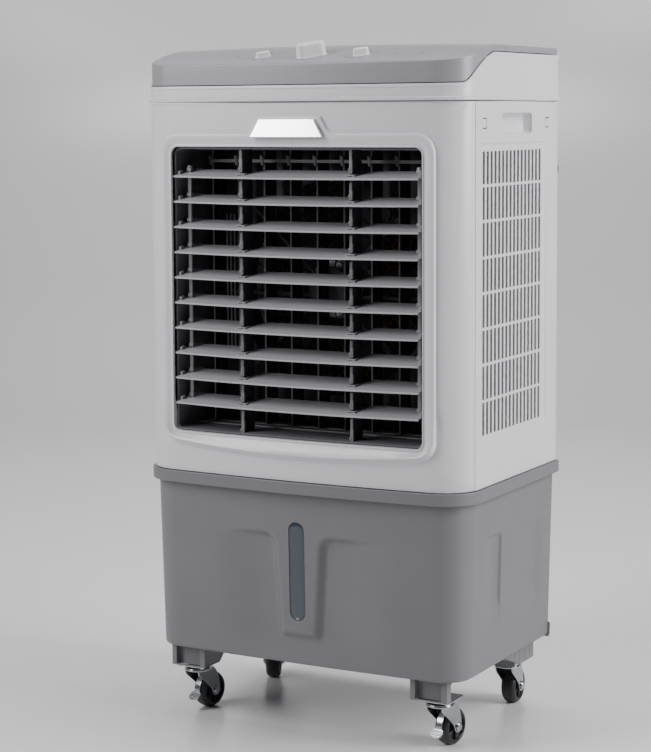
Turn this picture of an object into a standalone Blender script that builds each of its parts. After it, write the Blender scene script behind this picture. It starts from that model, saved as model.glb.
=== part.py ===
"""Evaporative cooler on casters, modelled as an assembly of separate parts.

Metres, +Z up. The origin is the middle of the footprint on the floor, the air outlet faces -Y and +X is the
viewer's right. Depths are given from the FRONT line, the chord of the bowed front, towards the back.
"""

import math

import bmesh
import bpy
from mathutils import Matrix, Vector

# ---- driving dimensions ----
BODY_WIDTH = 0.490
BODY_DEPTH = 0.318
BOW = 0.0078  # how far the middle of the front stands ahead of its two corners
FRONT_RADIUS = 0.046
REAR_RADIUS = 0.010
WALL = 0.0025
GAP = 0.0004  # clearance between neighbouring parts
BEZEL_PROUD = 0.005
GLAND_PROUD = 0.016

FRONT = -(BODY_DEPTH + GLAND_PROUD - BOW - BEZEL_PROUD) / 2
HALF = BODY_WIDTH / 2

TANK_BOTTOM = 0.0985
RIM_BOTTOM = 0.3345
LOW_SEAM = 0.351
TOP_SEAM = 0.853
FASCIA_BOTTOM = 0.8745
SHOULDER = 0.9162
RIM_PROUD = 0.004
TANK_INSET = 0.0045
TANK_TAPER = 0.006
TANK_WALL = 0.003
CORNER_SEAM = 0.0385  # depth at which the front panel meets the side panels
REAR_SEAM = 0.306

OPENING_HALF = 0.1885
OPENING_BOTTOM = 0.407
OPENING_TOP = 0.794
OPENING_RADIUS = 0.010
BEZEL_HALF = 0.206
BEZEL_BOTTOM = 0.388
BEZEL_TOP = 0.8125

LOUVERS = 10
LOUVER_FIRST = 0.7540
LOUVER_PITCH = 0.03427
LOUVER_CHORD = (-0.0045, 0.038)
LOUVER_PIVOT = 0.008
LOUVER_TILT = math.radians(10.5)
LOUVER_SLOT = (0.003, 0.018)  # half width beside a mullion, and where its ramp ends
LINK_DEPTH = 0.020
LINK_X = 0.174
LINK_HOLE = 0.0038  # half width of the hole that a link bar passes through
MULLION_X = 0.083
MULLION_DEPTHS = (0.004, 0.031)

VANES = 9
VANE_PITCH = 0.041
VANE_CHORD = (0.064, 0.096)
VANE_PIVOT = 0.080
VANE_LINK_DEPTH = 0.060
VANE_LINK_Z = 0.774

FAN_Z = 0.600
FAN_RADIUS = 0.140
DUCT_RADIUS = 0.147
SHROUD_DEPTH = 0.104

KNOB_DEPTH = 0.050
KNOB_SPACING = 0.0745
DECK_THICKNESS = 0.003

WHEEL_RADIUS = 0.025
WHEEL_WIDTH = 0.021
CASTER_TRAIL = 0.024
PEDESTAL_BOTTOM = 0.0695
CASTERS = {
    "front_left": (-0.189, 0.050, -9.0),
    "front_right": (0.189, 0.050, -9.0),
    "rear_left": (-0.190, 0.268, 205.0),
    "rear_right": (0.190, 0.268, 3.0),
}

SLOT_COLUMNS = 16
SLOT_START = 0.0675
SLOT_PITCH = 0.01225
SLOT_WIDTH = 0.0068
SLOT_BOTTOM = 0.4195
SLOT_TOP = 0.7880
GRIP_DEPTHS = (0.1175, 0.2185)
GRIP_HEIGHTS = (0.8095, 0.8375)
GRIP_INWARD = 0.015

# ---- colours, linear RGB, with roughness and metallic ----
WHITE_ABS = ((0.62, 0.62, 0.63), 0.42, 0.0)
GREY_ABS = ((0.21, 0.21, 0.22), 0.45, 0.0)
DARK_GREY = ((0.07, 0.07, 0.075), 0.5, 0.0)
BLACK = ((0.012, 0.012, 0.013), 0.5, 0.0)
CLEAR_BLUE = ((0.06, 0.09, 0.14), 0.15, 0.0)
PAPER = ((0.23, 0.17, 0.11), 0.85, 0.0)
CHROME = ((0.6, 0.6, 0.6), 0.2, 1.0)
STEEL = ((0.45, 0.45, 0.45), 0.35, 1.0)


def start_scene():
    """Empty the scene and return the collections for the parts and for the cutters."""
    for thing in list(bpy.data.objects):
        bpy.data.objects.remove(thing, do_unlink=True)
    parts = bpy.data.collections.new("evaporative_cooler")
    cutters = bpy.data.collections.new("cutters")
    for group in (parts, cutters):
        bpy.context.scene.collection.children.link(group)
    return parts, cutters


PARTS, CUTTERS = start_scene()


def material(name, finish):
    """A Principled material of the finish's colour, roughness and metallic value."""
    colour, roughness, metallic = finish
    made = bpy.data.materials.new(name)
    made.use_nodes = True
    shader = made.node_tree.nodes["Principled BSDF"]
    shader.inputs["Base Color"].default_value = (*colour, 1.0)
    shader.inputs["Roughness"].default_value = roughness
    shader.inputs["Metallic"].default_value = metallic
    return made


def add_object(name, data, finish=None):
    """Link an object: a part when it has a finish, otherwise a cutter."""
    thing = bpy.data.objects.new(name, data)
    if finish is None:
        CUTTERS.objects.link(thing)
        thing.hide_render = True
        thing.display_type = "WIRE"
    else:
        PARTS.objects.link(thing)
        data.materials.append(material(name, finish))
    return thing


def mesh_from(bm, name):
    """Turn a bmesh into mesh data with its faces pointing out."""
    bmesh.ops.recalc_face_normals(bm, faces=bm.faces)
    data = bpy.data.meshes.new(name)
    bm.to_mesh(data)
    bm.free()
    return data


def combine(thing, cutter, operation="DIFFERENCE"):
    """Add an exact Boolean that cuts the thing with, or joins it to, another object."""
    change = thing.modifiers.new(operation.lower(), "BOOLEAN")
    change.operation = operation
    change.solver = "EXACT"
    change.object = cutter
    return thing


def box(name, low, high, finish=None):
    """A block between two corners."""
    size = [h - l for l, h in zip(low, high)]
    middle = [(h + l) / 2 for l, h in zip(low, high)]
    bm = bmesh.new()
    bmesh.ops.create_cube(bm, size=1.0)
    bmesh.ops.scale(bm, vec=size, verts=bm.verts)
    bmesh.ops.translate(bm, vec=middle, verts=bm.verts)
    return add_object(name, mesh_from(bm, name), finish)


def cylinder(name, radius, start, end, finish=None, sides=24):
    """A round bar from one point to another."""
    axis = Vector(end) - Vector(start)
    turn = Vector((0, 0, 1)).rotation_difference(axis).to_matrix().to_4x4()
    place = Matrix.Translation((Vector(start) + Vector(end)) / 2) @ turn
    bm = bmesh.new()
    bmesh.ops.create_cone(
        bm,
        cap_ends=True,
        segments=sides,
        radius1=radius,
        radius2=radius,
        depth=axis.length,
        matrix=place,
    )
    thing = add_object(name, mesh_from(bm, name), finish)
    thing.data.shade_smooth()
    thing.data.set_sharp_from_angle(angle=math.radians(40))
    return thing


def curve_to_mesh(curve_object, name, finish=None):
    """Replace a curve object by a welded mesh object in the same place."""
    graph = bpy.context.evaluated_depsgraph_get()
    data = bpy.data.meshes.new_from_object(curve_object.evaluated_get(graph))
    bm = bmesh.new()
    bm.from_mesh(data)
    bm.transform(curve_object.matrix_world)
    bmesh.ops.remove_doubles(bm, verts=bm.verts, dist=0.00001)
    bpy.data.objects.remove(curve_object, do_unlink=True)
    bpy.data.meshes.remove(data)
    return add_object(name, mesh_from(bm, name), finish)


def prism(name, outline, low, high, axis="Z", finish=None):
    """Extrude a closed flat outline along an axis. A Y outline is (x, z), an X outline is (y, z)."""
    curve = bpy.data.curves.new(name, "CURVE")
    curve.dimensions = "2D"
    curve.fill_mode = "BOTH"
    curve.extrude = (high - low) / 2
    spline = curve.splines.new("POLY")
    spline.points.add(len(outline) - 1)
    for point, (u, v) in zip(spline.points, outline):
        point.co = (u, v, 0.0, 1.0)
    spline.use_cyclic_u = True
    thing = bpy.data.objects.new(name, curve)
    CUTTERS.objects.link(thing)
    frames = {
        "Z": Matrix.Identity(4),
        "Y": Matrix(((1, 0, 0, 0), (0, 0, -1, 0), (0, 1, 0, 0), (0, 0, 0, 1))),
        "X": Matrix(((0, 0, 1, 0), (1, 0, 0, 0), (0, 1, 0, 0), (0, 0, 0, 1))),
    }
    middle = (high + low) / 2
    shift = {"Z": (0, 0, middle), "Y": (0, middle, 0), "X": (middle, 0, 0)}
    thing.matrix_world = Matrix.Translation(shift[axis]) @ frames[axis]
    bpy.context.view_layer.update()
    return curve_to_mesh(thing, name, finish)


def rounded_outline(low, high, radius, steps=4):
    """Corners of a rectangle from low to high, rounded."""
    points = []
    centres = (
        (high[0] - radius, high[1] - radius, 0),
        (low[0] + radius, high[1] - radius, 90),
        (low[0] + radius, low[1] + radius, 180),
        (high[0] - radius, low[1] + radius, 270),
    )
    for u, v, start in centres:
        for step in range(steps + 1):
            angle = math.radians(start + 90 * step / steps)
            points.append((u + radius * math.cos(angle), v + radius * math.sin(angle)))
    return points


def body_outline(offset=0.0, bow=BOW):
    """Plan of the housing: a bowed front between two wide arcs, and small rear corners."""
    half = HALF + offset
    front = FRONT - offset
    back = FRONT + BODY_DEPTH + offset
    wide = FRONT_RADIUS + offset
    small = max(0.002, REAR_RADIUS + offset)
    straight = half - wide
    points = []
    for step in range(9):
        x = straight * (step / 4 - 1)
        points.append((x, front - bow * (1 - (x / straight) ** 2)))
    for step in range(1, 8):
        angle = math.radians(90 * step / 7)
        points.append((straight + wide * math.sin(angle), front + wide * (1 - math.cos(angle))))
    for side in (1, -1):
        for step in range(4):
            angle = math.radians(90 * (step if side == 1 else 3 - step) / 3)
            x = side * (half - small + small * math.cos(angle))
            points.append((x, back - small + small * math.sin(angle)))
    for step in range(7, 0, -1):
        angle = math.radians(90 * step / 7)
        points.append((-straight - wide * math.sin(angle), front + wide * (1 - math.cos(angle))))
    return points


def housing_shell(name, low, high, finish):
    """A wall that follows the housing's plan, open at the top and at the bottom."""
    shell = prism(name, body_outline(), low, high, "Z", finish)
    inside = prism(name + "_inside", body_outline(-WALL), low - 0.01, high + 0.01)
    return combine(shell, inside)


def clip_depth(thing, near, far):
    """Keep only what lies between two depths behind the FRONT line."""
    low = (-0.4, FRONT + near, -0.1)
    high = (0.4, FRONT + far, 1.2)
    return combine(thing, box(thing.name + "_keep", low, high), "INTERSECT")


def along(thing, matrix):
    """Move an object's mesh, so that its own origin stays where it is."""
    thing.data.transform(matrix)
    return thing


def put_origin(thing, place):
    """Put an object's origin on a joint's axis without moving its shape."""
    thing.data.transform(Matrix.Translation(-Vector(place)))
    thing.location = place
    return thing


# ---- water tank ----
def tapered(name, inset_top, inset_bottom, low, high, finish=None):
    """A block with the housing's plan that narrows towards its bottom."""
    thing = prism(name, body_outline(-inset_top, 0.003), low, high, "Z", finish)
    top_half = HALF - inset_top
    bottom_half = HALF - inset_bottom
    middle = FRONT + BODY_DEPTH / 2
    deep = (BODY_DEPTH / 2 - inset_bottom) / (BODY_DEPTH / 2 - inset_top)
    for vertex in thing.data.vertices:
        if vertex.co.z < (low + high) / 2:
            vertex.co.x *= bottom_half / top_half
            vertex.co.y = middle + (vertex.co.y - middle) * deep
    return thing


def pedestal_box(where):
    """Lowest and highest corners of the moulded foot above a caster, in X and depth."""
    x, depth, _ = CASTERS[where]
    if where.startswith("front"):
        return (x - 0.030, depth - 0.030), (x + 0.030, depth + 0.032)
    return (x - 0.030, depth - 0.096), (x + 0.030, depth + 0.024)


def make_tank():
    """The grey tank with its rim, its four feet, and its openings for the window, door and plug."""
    tank = tapered("tank", TANK_INSET, TANK_INSET + TANK_TAPER, TANK_BOTTOM, LOW_SEAM - 0.002, GREY_ABS)
    rim = prism("tank_rim", body_outline(RIM_PROUD), RIM_BOTTOM, LOW_SEAM - GAP)
    combine(tank, rim, "UNION")
    for where in CASTERS:
        low, high = pedestal_box(where)
        outline = rounded_outline((low[0], FRONT + low[1]), (high[0], FRONT + high[1]), 0.005, 2)
        foot = prism(where + "_foot", outline, PEDESTAL_BOTTOM, TANK_BOTTOM + 0.001)
        combine(tank, foot, "UNION")
    inset = TANK_INSET + TANK_WALL
    inside = tapered("tank_inside", inset, inset + TANK_TAPER, TANK_BOTTOM + TANK_WALL, LOW_SEAM + 0.01)
    combine(tank, inside)
    slot = rounded_outline((-0.014, 0.159), (0.010, 0.294), 0.0119, 4)
    combine(tank, prism("window_slot", slot, FRONT - 0.03, FRONT + 0.04, "Y"))
    back = FRONT + BODY_DEPTH
    door = box("door_hole", (-0.150, back - 0.03, 0.2312), (-0.030, back + 0.01, 0.292))
    combine(tank, door)
    drain = cylinder("drain_hole", 0.0115, (0.12, back - 0.03, 0.125), (0.12, back + 0.02, 0.125), None, 20)
    combine(tank, drain)
    return tank


def rear_wall_depth(z):
    """Y of the tank's outer rear face at a height."""
    share = (LOW_SEAM - 0.002 - z) / (LOW_SEAM - 0.002 - TANK_BOTTOM)
    return FRONT + BODY_DEPTH - TANK_INSET - TANK_TAPER * share


def make_tank_fittings():
    """The level window, the filling door with its pull lip, and the drain plug."""
    outline = rounded_outline((-0.0136, -0.0671), (0.0096, 0.0671), 0.0115, 4)
    window = prism("level_window", outline, -0.0012, 0.0012, "Y", CLEAR_BLUE)
    lean = math.atan2(TANK_TAPER, LOW_SEAM - 0.002 - TANK_BOTTOM)
    place = Matrix.Translation((0, FRONT + 0.0062, 0.2265)) @ Matrix.Rotation(lean, 4, "X")
    along(window, place)
    y = rear_wall_depth(0.262)
    door = box("fill_door", (-0.149, y - 0.0028, 0.233), (-0.031, y - 0.0003, 0.291), GREY_ABS)
    lip = box("door_lip", (-0.110, y - 0.001, 0.283), (-0.070, y + 0.006, 0.286))
    combine(door, lip, "UNION")
    put_origin(door, (-0.090, y - 0.0015, 0.2335))
    y = rear_wall_depth(0.125)
    plug = cylinder("drain_plug", 0.0110, (0.12, y - 0.012, 0.125), (0.12, y + 0.001, 0.125), BLACK, 20)
    head = cylinder("drain_head", 0.0150, (0.12, y + 0.0006, 0.125), (0.12, y + 0.0080, 0.125), None, 20)
    combine(plug, head, "UNION")
    put_origin(plug, (0.12, y, 0.125))


# ---- housing ----
def make_front_panel():
    """The bowed white front with its raised surround, wrapped round both corners."""
    panel = housing_shell("front_panel", LOW_SEAM + GAP, TOP_SEAM - GAP, WHITE_ABS)
    clip_depth(panel, -0.05, CORNER_SEAM)
    surround = prism("surround", body_outline(BEZEL_PROUD), BEZEL_BOTTOM, BEZEL_TOP)
    hollow = prism("surround_inside", body_outline(-0.0005), BEZEL_BOTTOM - 0.01, BEZEL_TOP + 0.01)
    combine(surround, hollow)
    limit = rounded_outline((-BEZEL_HALF, BEZEL_BOTTOM), (BEZEL_HALF, BEZEL_TOP), 0.026, 4)
    combine(surround, prism("surround_edge", limit, FRONT - 0.03, FRONT + 0.02, "Y"), "INTERSECT")
    combine(panel, surround, "UNION")
    low = (-OPENING_HALF, OPENING_BOTTOM)
    high = (OPENING_HALF, OPENING_TOP)
    hole = rounded_outline(low, high, OPENING_RADIUS, 3)
    combine(panel, prism("outlet_hole", hole, FRONT - 0.05, FRONT + 0.05, "Y"))
    return panel


def make_side_panel(name, side):
    """A white side with its slotted air inlet and its grip pocket."""
    panel = housing_shell(name, LOW_SEAM + GAP, TOP_SEAM - GAP, WHITE_ABS)
    low_x, high_x = sorted((side * 0.16, side * 0.30))
    keep_low = (low_x, FRONT + CORNER_SEAM + GAP, 0.3)
    keep_high = (high_x, FRONT + REAR_SEAM - GAP, 0.9)
    combine(panel, box(name + "_keep", keep_low, keep_high), "INTERSECT")
    outer = side * (HALF - 0.0005)
    inner = side * (HALF - GRIP_INWARD - 0.002)
    cup_x = sorted((outer, inner))
    cup_low = (cup_x[0], FRONT + GRIP_DEPTHS[0] - 0.002, GRIP_HEIGHTS[0] - 0.002)
    cup_high = (cup_x[1], FRONT + GRIP_DEPTHS[1] + 0.002, GRIP_HEIGHTS[1] + 0.002)
    combine(panel, box(name + "_cup", cup_low, cup_high), "UNION")
    hole_x = sorted((side * (HALF + 0.01), side * (HALF - GRIP_INWARD)))
    hole_low = (hole_x[0], FRONT + GRIP_DEPTHS[0], GRIP_HEIGHTS[0])
    hole_high = (hole_x[1], FRONT + GRIP_DEPTHS[1], GRIP_HEIGHTS[1])
    combine(panel, box(name + "_grip", hole_low, hole_high))
    middle = (SLOT_BOTTOM + SLOT_TOP) / 2
    bm = bmesh.new()
    for column in range(SLOT_COLUMNS):
        y = FRONT + SLOT_START + SLOT_PITCH * column
        for low, high in ((SLOT_BOTTOM, middle - 0.002), (middle + 0.002, SLOT_TOP)):
            size = (0.04, SLOT_WIDTH, high - low)
            place = Matrix.Translation((side * HALF, y, (low + high) / 2))
            bmesh.ops.create_cube(bm, size=1.0, matrix=place @ Matrix.Diagonal((*size, 1.0)))
    slots = add_object(name + "_slots", mesh_from(bm, name + "_slots"))
    return combine(panel, slots)


def make_rear_panel():
    """The white back with slotted inlets above and the room for the cord gland."""
    panel = housing_shell("rear_panel", LOW_SEAM + GAP, TOP_SEAM - GAP, WHITE_ABS)
    clip_depth(panel, REAR_SEAM, BODY_DEPTH + 0.05)
    bm = bmesh.new()
    middle = (SLOT_BOTTOM + SLOT_TOP) / 2
    for column in range(24):
        x = 0.0155 * (column - 11.5)
        for low, high in ((SLOT_BOTTOM, middle - 0.002), (middle + 0.002, SLOT_TOP - 0.02)):
            place = Matrix.Translation((x, FRONT + BODY_DEPTH, (low + high) / 2))
            size = (0.0085, 0.03, high - low)
            bmesh.ops.create_cube(bm, size=1.0, matrix=place @ Matrix.Diagonal((*size, 1.0)))
    slots = add_object("rear_slots", mesh_from(bm, "rear_slots"))
    return combine(panel, slots)


def shoulder_line():
    """Depth and height of the line where the grey deck meets the white housing."""
    points = [(-0.03, FASCIA_BOTTOM), (0.010, FASCIA_BOTTOM + 0.0012), (0.0205, FASCIA_BOTTOM + 0.0022)]
    points += [(0.0255, 0.8788), (0.031, 0.8842), (0.044, 0.8948), (0.055, 0.9010), (0.0675, 0.9070)]
    points += [(0.080, 0.9120), (0.090, 0.9150), (0.098, SHOULDER), (BODY_DEPTH + 0.03, SHOULDER)]
    return points


def deck_line():
    """Depth and height of the deck's top, which slopes at the front and is level behind."""
    line = [(-0.03, 0.8985), (-0.008, 0.9025), (0.030, 0.9092), (0.050, 0.9138)]
    line += [(0.070, 0.9192), (0.088, 0.9237), (0.105, 0.9255)]
    line.append((BODY_DEPTH + 0.03, 0.9255))
    return line


def profile(line, base, drop=0.0):
    """Close a depth and height line down to a base height, as a (y, z) outline."""
    upper = [(FRONT + depth, z - drop) for depth, z in line]
    return upper + [(upper[-1][0], base), (upper[0][0], base)]


def make_top_housing():
    """The white ring under the deck, low at the front and rising into two shoulders."""
    ring = housing_shell("top_housing", TOP_SEAM + GAP, 0.93, WHITE_ABS)
    bead = prism("bead", body_outline(0.0035), TOP_SEAM + GAP, TOP_SEAM + 0.0045)
    bead_inside = prism("bead_inside", body_outline(-0.001), TOP_SEAM - 0.01, TOP_SEAM + 0.02)
    combine(bead, bead_inside)
    combine(ring, bead, "UNION")
    keep = prism("ring_keep", profile(shoulder_line(), 0.80, GAP), -0.4, 0.4, "X")
    return combine(ring, keep, "INTERSECT")


def deck_height(depth):
    """Height of the deck's top at a depth."""
    line = deck_line()
    for (d0, z0), (d1, z1) in zip(line, line[1:]):
        if d0 <= depth <= d1:
            return z0 + (z1 - z0) * (depth - d0) / (d1 - d0)
    return line[-1][1]


def make_control_deck():
    """The grey lid with the sloped dial panel at its front, open underneath."""
    lid = prism("control_deck", body_outline(-0.0015), 0.86, 0.94, "Z", GREY_ABS)
    top = prism("deck_top", profile(deck_line(), 0.80), -0.4, 0.4, "X")
    combine(lid, top, "INTERSECT")
    combine(lid, prism("deck_foot", profile(shoulder_line(), 0.80), -0.41, 0.41, "X"))
    inside = prism("deck_inside", body_outline(-0.0015 - DECK_THICKNESS), 0.85, 0.95)
    under = prism("deck_under", profile(deck_line(), 0.79, DECK_THICKNESS), -0.39, 0.39, "X")
    combine(inside, under, "INTERSECT")
    combine(lid, inside)
    tilt = knob_tilt()
    for x in (-KNOB_SPACING, 0.0, KNOB_SPACING):
        foot = knob_foot(x)
        start = foot - tilt * 0.03
        combine(lid, cylinder("stem_hole_%d" % (1000 * x), 0.0045, start, foot + tilt * 0.03, None, 12))
    return lid


def knob_tilt():
    """Direction of the knobs' axes, square to the sloped panel."""
    slope = math.atan2(deck_height(0.065) - deck_height(0.035), 0.030)
    return Vector((0.0, -math.sin(slope), math.cos(slope)))


def knob_foot(x):
    """Where a knob's axis meets the sloped panel."""
    return Vector((x, FRONT + KNOB_DEPTH, deck_height(KNOB_DEPTH)))


def make_knob(name, x, length, width, height, turn):
    """A bar-shaped knob with a stem through the deck."""
    tilt = knob_tilt()
    place = Matrix.Translation(knob_foot(x)) @ Vector((0, 0, 1)).rotation_difference(tilt).to_matrix().to_4x4()
    place = place @ Matrix.Rotation(math.radians(turn), 4, "Z")
    outline = rounded_outline((-length / 2, -width / 2), (length / 2, width / 2), width / 2 - 0.0005, 5)
    knob = prism(name, outline, 0.0010, height, "Z", WHITE_ABS)
    stem = cylinder(name + "_stem", 0.0038, (0, 0, -0.012), (0, 0, 0.003), None, 12)
    for thing in (knob, stem):
        along(thing, place)
    combine(knob, stem, "UNION")
    return put_origin(knob, knob_foot(x))


# ---- air outlet ----
def make_louver_frame():
    """The dark box that lines the outlet and carries the blades, vanes and mullions."""
    near = FRONT - 0.002
    far = FRONT + 0.101
    gap = 0.0006
    low = (-OPENING_HALF + gap, OPENING_BOTTOM + gap)
    high = (OPENING_HALF - gap, OPENING_TOP - gap)
    frame = prism("louver_frame", rounded_outline(low, high, 0.0094, 3), near, far, "Y", DARK_GREY)
    low = (low[0] + 0.0025, low[1] + 0.0025)
    high = (high[0] - 0.0025, high[1] - 0.0025)
    inside = prism("frame_inside", rounded_outline(low, high, 0.0069, 3), near - 0.01, far + 0.01, "Y")
    combine(frame, inside)
    for x in (-MULLION_X, MULLION_X):
        low = (x - 0.0018, FRONT + MULLION_DEPTHS[0], 0.4085)
        high = (x + 0.0018, FRONT + MULLION_DEPTHS[1], 0.7925)
        combine(frame, box("mullion_%d" % (1000 * x), low, high), "UNION")
    return frame


def louver_height(index):
    """Height of a louver's pivot."""
    rise = (LOUVER_PIVOT - LOUVER_CHORD[0]) * math.tan(LOUVER_TILT)
    return LOUVER_FIRST + rise - LOUVER_PITCH * index


def blade_outline(half):
    """Plan of a blade about its pivot: a bowed front edge, and slots that straddle the mullions."""
    near, far = LOUVER_CHORD[0] - LOUVER_PIVOT, LOUVER_CHORD[1] - LOUVER_PIVOT
    straight = HALF - FRONT_RADIUS
    points = []
    for step in range(13):
        x = half * (step / 6 - 1)
        points.append((x, near - BOW * (1 - (x / straight) ** 2)))
    points.append((half, far))
    gap, ramp = LOUVER_SLOT
    slot_end = MULLION_DEPTHS[0] - LOUVER_PIVOT - 0.002
    ramp_foot = far / 3
    for x in (MULLION_X, -MULLION_X):
        points += [(x + ramp, far), (x + 2 * gap, ramp_foot), (x + gap, ramp_foot)]
        points += [(x + gap, slot_end), (x - gap, slot_end), (x - gap, far)]
    points.append((-half, far))
    return points


def make_louvers():
    """Ten level blades on end pins, and the bar that links them."""
    half = OPENING_HALF - 0.0045
    reach = half + 0.0008
    lever = LINK_DEPTH - LOUVER_PIVOT
    for index in range(LOUVERS):
        name = "louver_%02d" % (index + 1)
        blade = prism(name, blade_outline(half), -0.0010, 0.0010, "Z", DARK_GREY)
        place = Matrix.Translation((0, FRONT + LOUVER_PIVOT, louver_height(index)))
        tilt = Matrix.Rotation(LOUVER_TILT, 4, "X")
        for side in (-1, 1):
            ends = sorted((side * (half - 0.012), side * reach))
            pin = cylinder(name + "_pin", 0.0020, (ends[0], 0, 0), (ends[1], 0, 0), None, 8)
            combine(blade, along(pin, place), "UNION")
            x = side * LINK_X
            low = (x - LINK_HOLE, lever - 0.0045, -0.01)
            hole = box(name + "_hole", low, (x + LINK_HOLE, lever + 0.0045, 0.01))
            combine(blade, along(hole, place @ tilt))
        along(blade, tilt)
        blade.location = place.translation
    z = louver_height(0) + lever * math.tan(LOUVER_TILT)
    bottom = z - LOUVER_PITCH * (LOUVERS - 1) - 0.006
    y = FRONT + LINK_DEPTH
    link = box("louver_link", (-LINK_X - 0.0025, y - 0.0015, bottom), (-LINK_X + 0.0025, y + 0.0015, z + 0.006), GREY_ABS)
    put_origin(link, (-LINK_X, y, z))


def make_vanes():
    """Nine upright vanes behind the louvers, and the rod that swings them together."""
    low, high = OPENING_BOTTOM + 0.0055, OPENING_TOP - 0.0055
    for index in range(VANES):
        x = VANE_PITCH * (index - (VANES - 1) / 2)
        name = "vane_%d" % (index + 1)
        near, far = VANE_CHORD[0] - VANE_PIVOT, VANE_CHORD[1] - VANE_PIVOT
        section = [(0.0, near), (0.0010, near + 0.003), (0.0010, far - 0.004), (0.0003, far)]
        section += [(-0.0003, far), (-0.0010, far - 0.004), (-0.0010, near + 0.003)]
        vane = prism(name, section, low, high, "Z", BLACK)
        pin = cylinder(name + "_pin", 0.0020, (0, 0, low - 0.0012), (0, 0, high + 0.0012), None, 8)
        combine(vane, pin, "UNION")
        along(pin, Matrix.Translation((x, FRONT + VANE_PIVOT, 0)))
        vane.location = (x, FRONT + VANE_PIVOT, 0)
    reach = VANE_PITCH * (VANES - 1) / 2 + 0.004
    y = FRONT + VANE_LINK_DEPTH
    low_corner = (-reach, y - 0.0015, VANE_LINK_Z - 0.0025)
    rod = box("vane_link", low_corner, (reach, y + 0.0015, VANE_LINK_Z + 0.0025), DARK_GREY)
    put_origin(rod, (-VANE_PITCH * (VANES - 1) / 2, y, VANE_LINK_Z))


# ---- fan ----
def make_fan_group():
    """The shroud with its duct and motor bracket, the motor, the fan and the swing motor."""
    near = FRONT + SHROUD_DEPTH
    shroud = box("fan_shroud", (-0.212, near, 0.372), (0.212, near + 0.003, 0.842), DARK_GREY)
    hub_z = FAN_Z
    duct = cylinder("duct", DUCT_RADIUS + 0.003, (0, near + 0.001, hub_z), (0, near + 0.045, hub_z), None, 48)
    combine(shroud, duct, "UNION")
    hole = cylinder("duct_hole", DUCT_RADIUS, (0, near - 0.02, hub_z), (0, near + 0.06, hub_z), None, 48)
    combine(shroud, hole)
    for lift in (-0.009, 0.009):
        low = (-DUCT_RADIUS - 0.001, near + 0.0002, hub_z + lift - 0.004)
        high = (DUCT_RADIUS + 0.001, near + 0.0062, hub_z + lift + 0.004)
        combine(shroud, box("bracket_%d" % (1000 * lift), low, high), "UNION")
    start = near + 0.0062 + GAP
    motor = cylinder("fan_motor", 0.044, (0, start, hub_z), (0, start + 0.034, hub_z), STEEL, 32)
    shaft = cylinder("motor_shaft", 0.004, (0, start + 0.030, hub_z), (0, start + 0.068, hub_z), None, 12)
    combine(motor, shaft, "UNION")
    front = start + 0.036
    fan = cylinder("fan", 0.030, (0, front, hub_z), (0, front + 0.030, hub_z), BLACK, 30)
    for index in range(5):
        blade = box("fan_blade_%d" % index, (0.024, -0.0010, -0.026), (FAN_RADIUS, 0.0010, 0.026))
        for vertex in blade.data.vertices:
            if vertex.co.x < 0.05:
                vertex.co.z *= 0.62
        spin = Matrix.Rotation(math.radians(72 * index), 4, "Y")
        pitch = Matrix.Rotation(math.radians(26), 4, "X")
        along(blade, Matrix.Translation((0, front + 0.015, hub_z)) @ spin @ pitch)
        combine(fan, blade, "UNION")
    bore = cylinder("fan_bore", 0.0046, (0, front - 0.01, hub_z), (0, front + 0.05, hub_z), None, 12)
    combine(fan, bore)
    put_origin(fan, (0, front + 0.015, hub_z))
    base = OPENING_TOP + 0.0004
    swing = cylinder("swing_motor", 0.024, (0.10, FRONT + 0.074, base), (0.10, FRONT + 0.074, base + 0.016), STEEL, 24)
    ears = box("motor_ears", (0.067, FRONT + 0.067, base), (0.133, FRONT + 0.081, base + 0.0015))
    combine(swing, ears, "UNION")


# ---- wetted parts ----
def make_wetted_parts():
    """The three paper pads, the trough that wets them, the pump and its hose."""
    pad_low, pad_high = 0.400, 0.800
    box("rear_pad", (-0.196, FRONT + 0.268, pad_low), (0.196, FRONT + 0.296, pad_high), PAPER)
    for name, side in (("side_pad_left", -1), ("side_pad_right", 1)):
        x = sorted((side * 0.2150, side * 0.2370))
        box(name, (x[0], FRONT + 0.058, pad_low), (x[1], FRONT + 0.256, pad_high), PAPER)
    trough = box("water_distributor", (-0.196, FRONT + 0.262, 0.8005), (0.196, FRONT + 0.298, 0.8220), GREY_ABS)
    low = (-0.194, FRONT + 0.264, 0.8030)
    combine(trough, box("trough_inside", low, (0.194, FRONT + 0.296, 0.830)))
    floor = TANK_BOTTOM + TANK_WALL + GAP
    outline = rounded_outline((0.130, FRONT + 0.190), (0.200, FRONT + 0.240), 0.008, 3)
    pump = prism("pump", outline, floor, floor + 0.062, "Z", BLACK)
    top = floor + 0.062
    spout = cylinder("pump_spout", 0.006, (0.185, FRONT + 0.225, top - 0.002), (0.185, FRONT + 0.225, top + 0.012), None, 12)
    combine(pump, spout, "UNION")
    make_hose(top + 0.012 + GAP)


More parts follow.
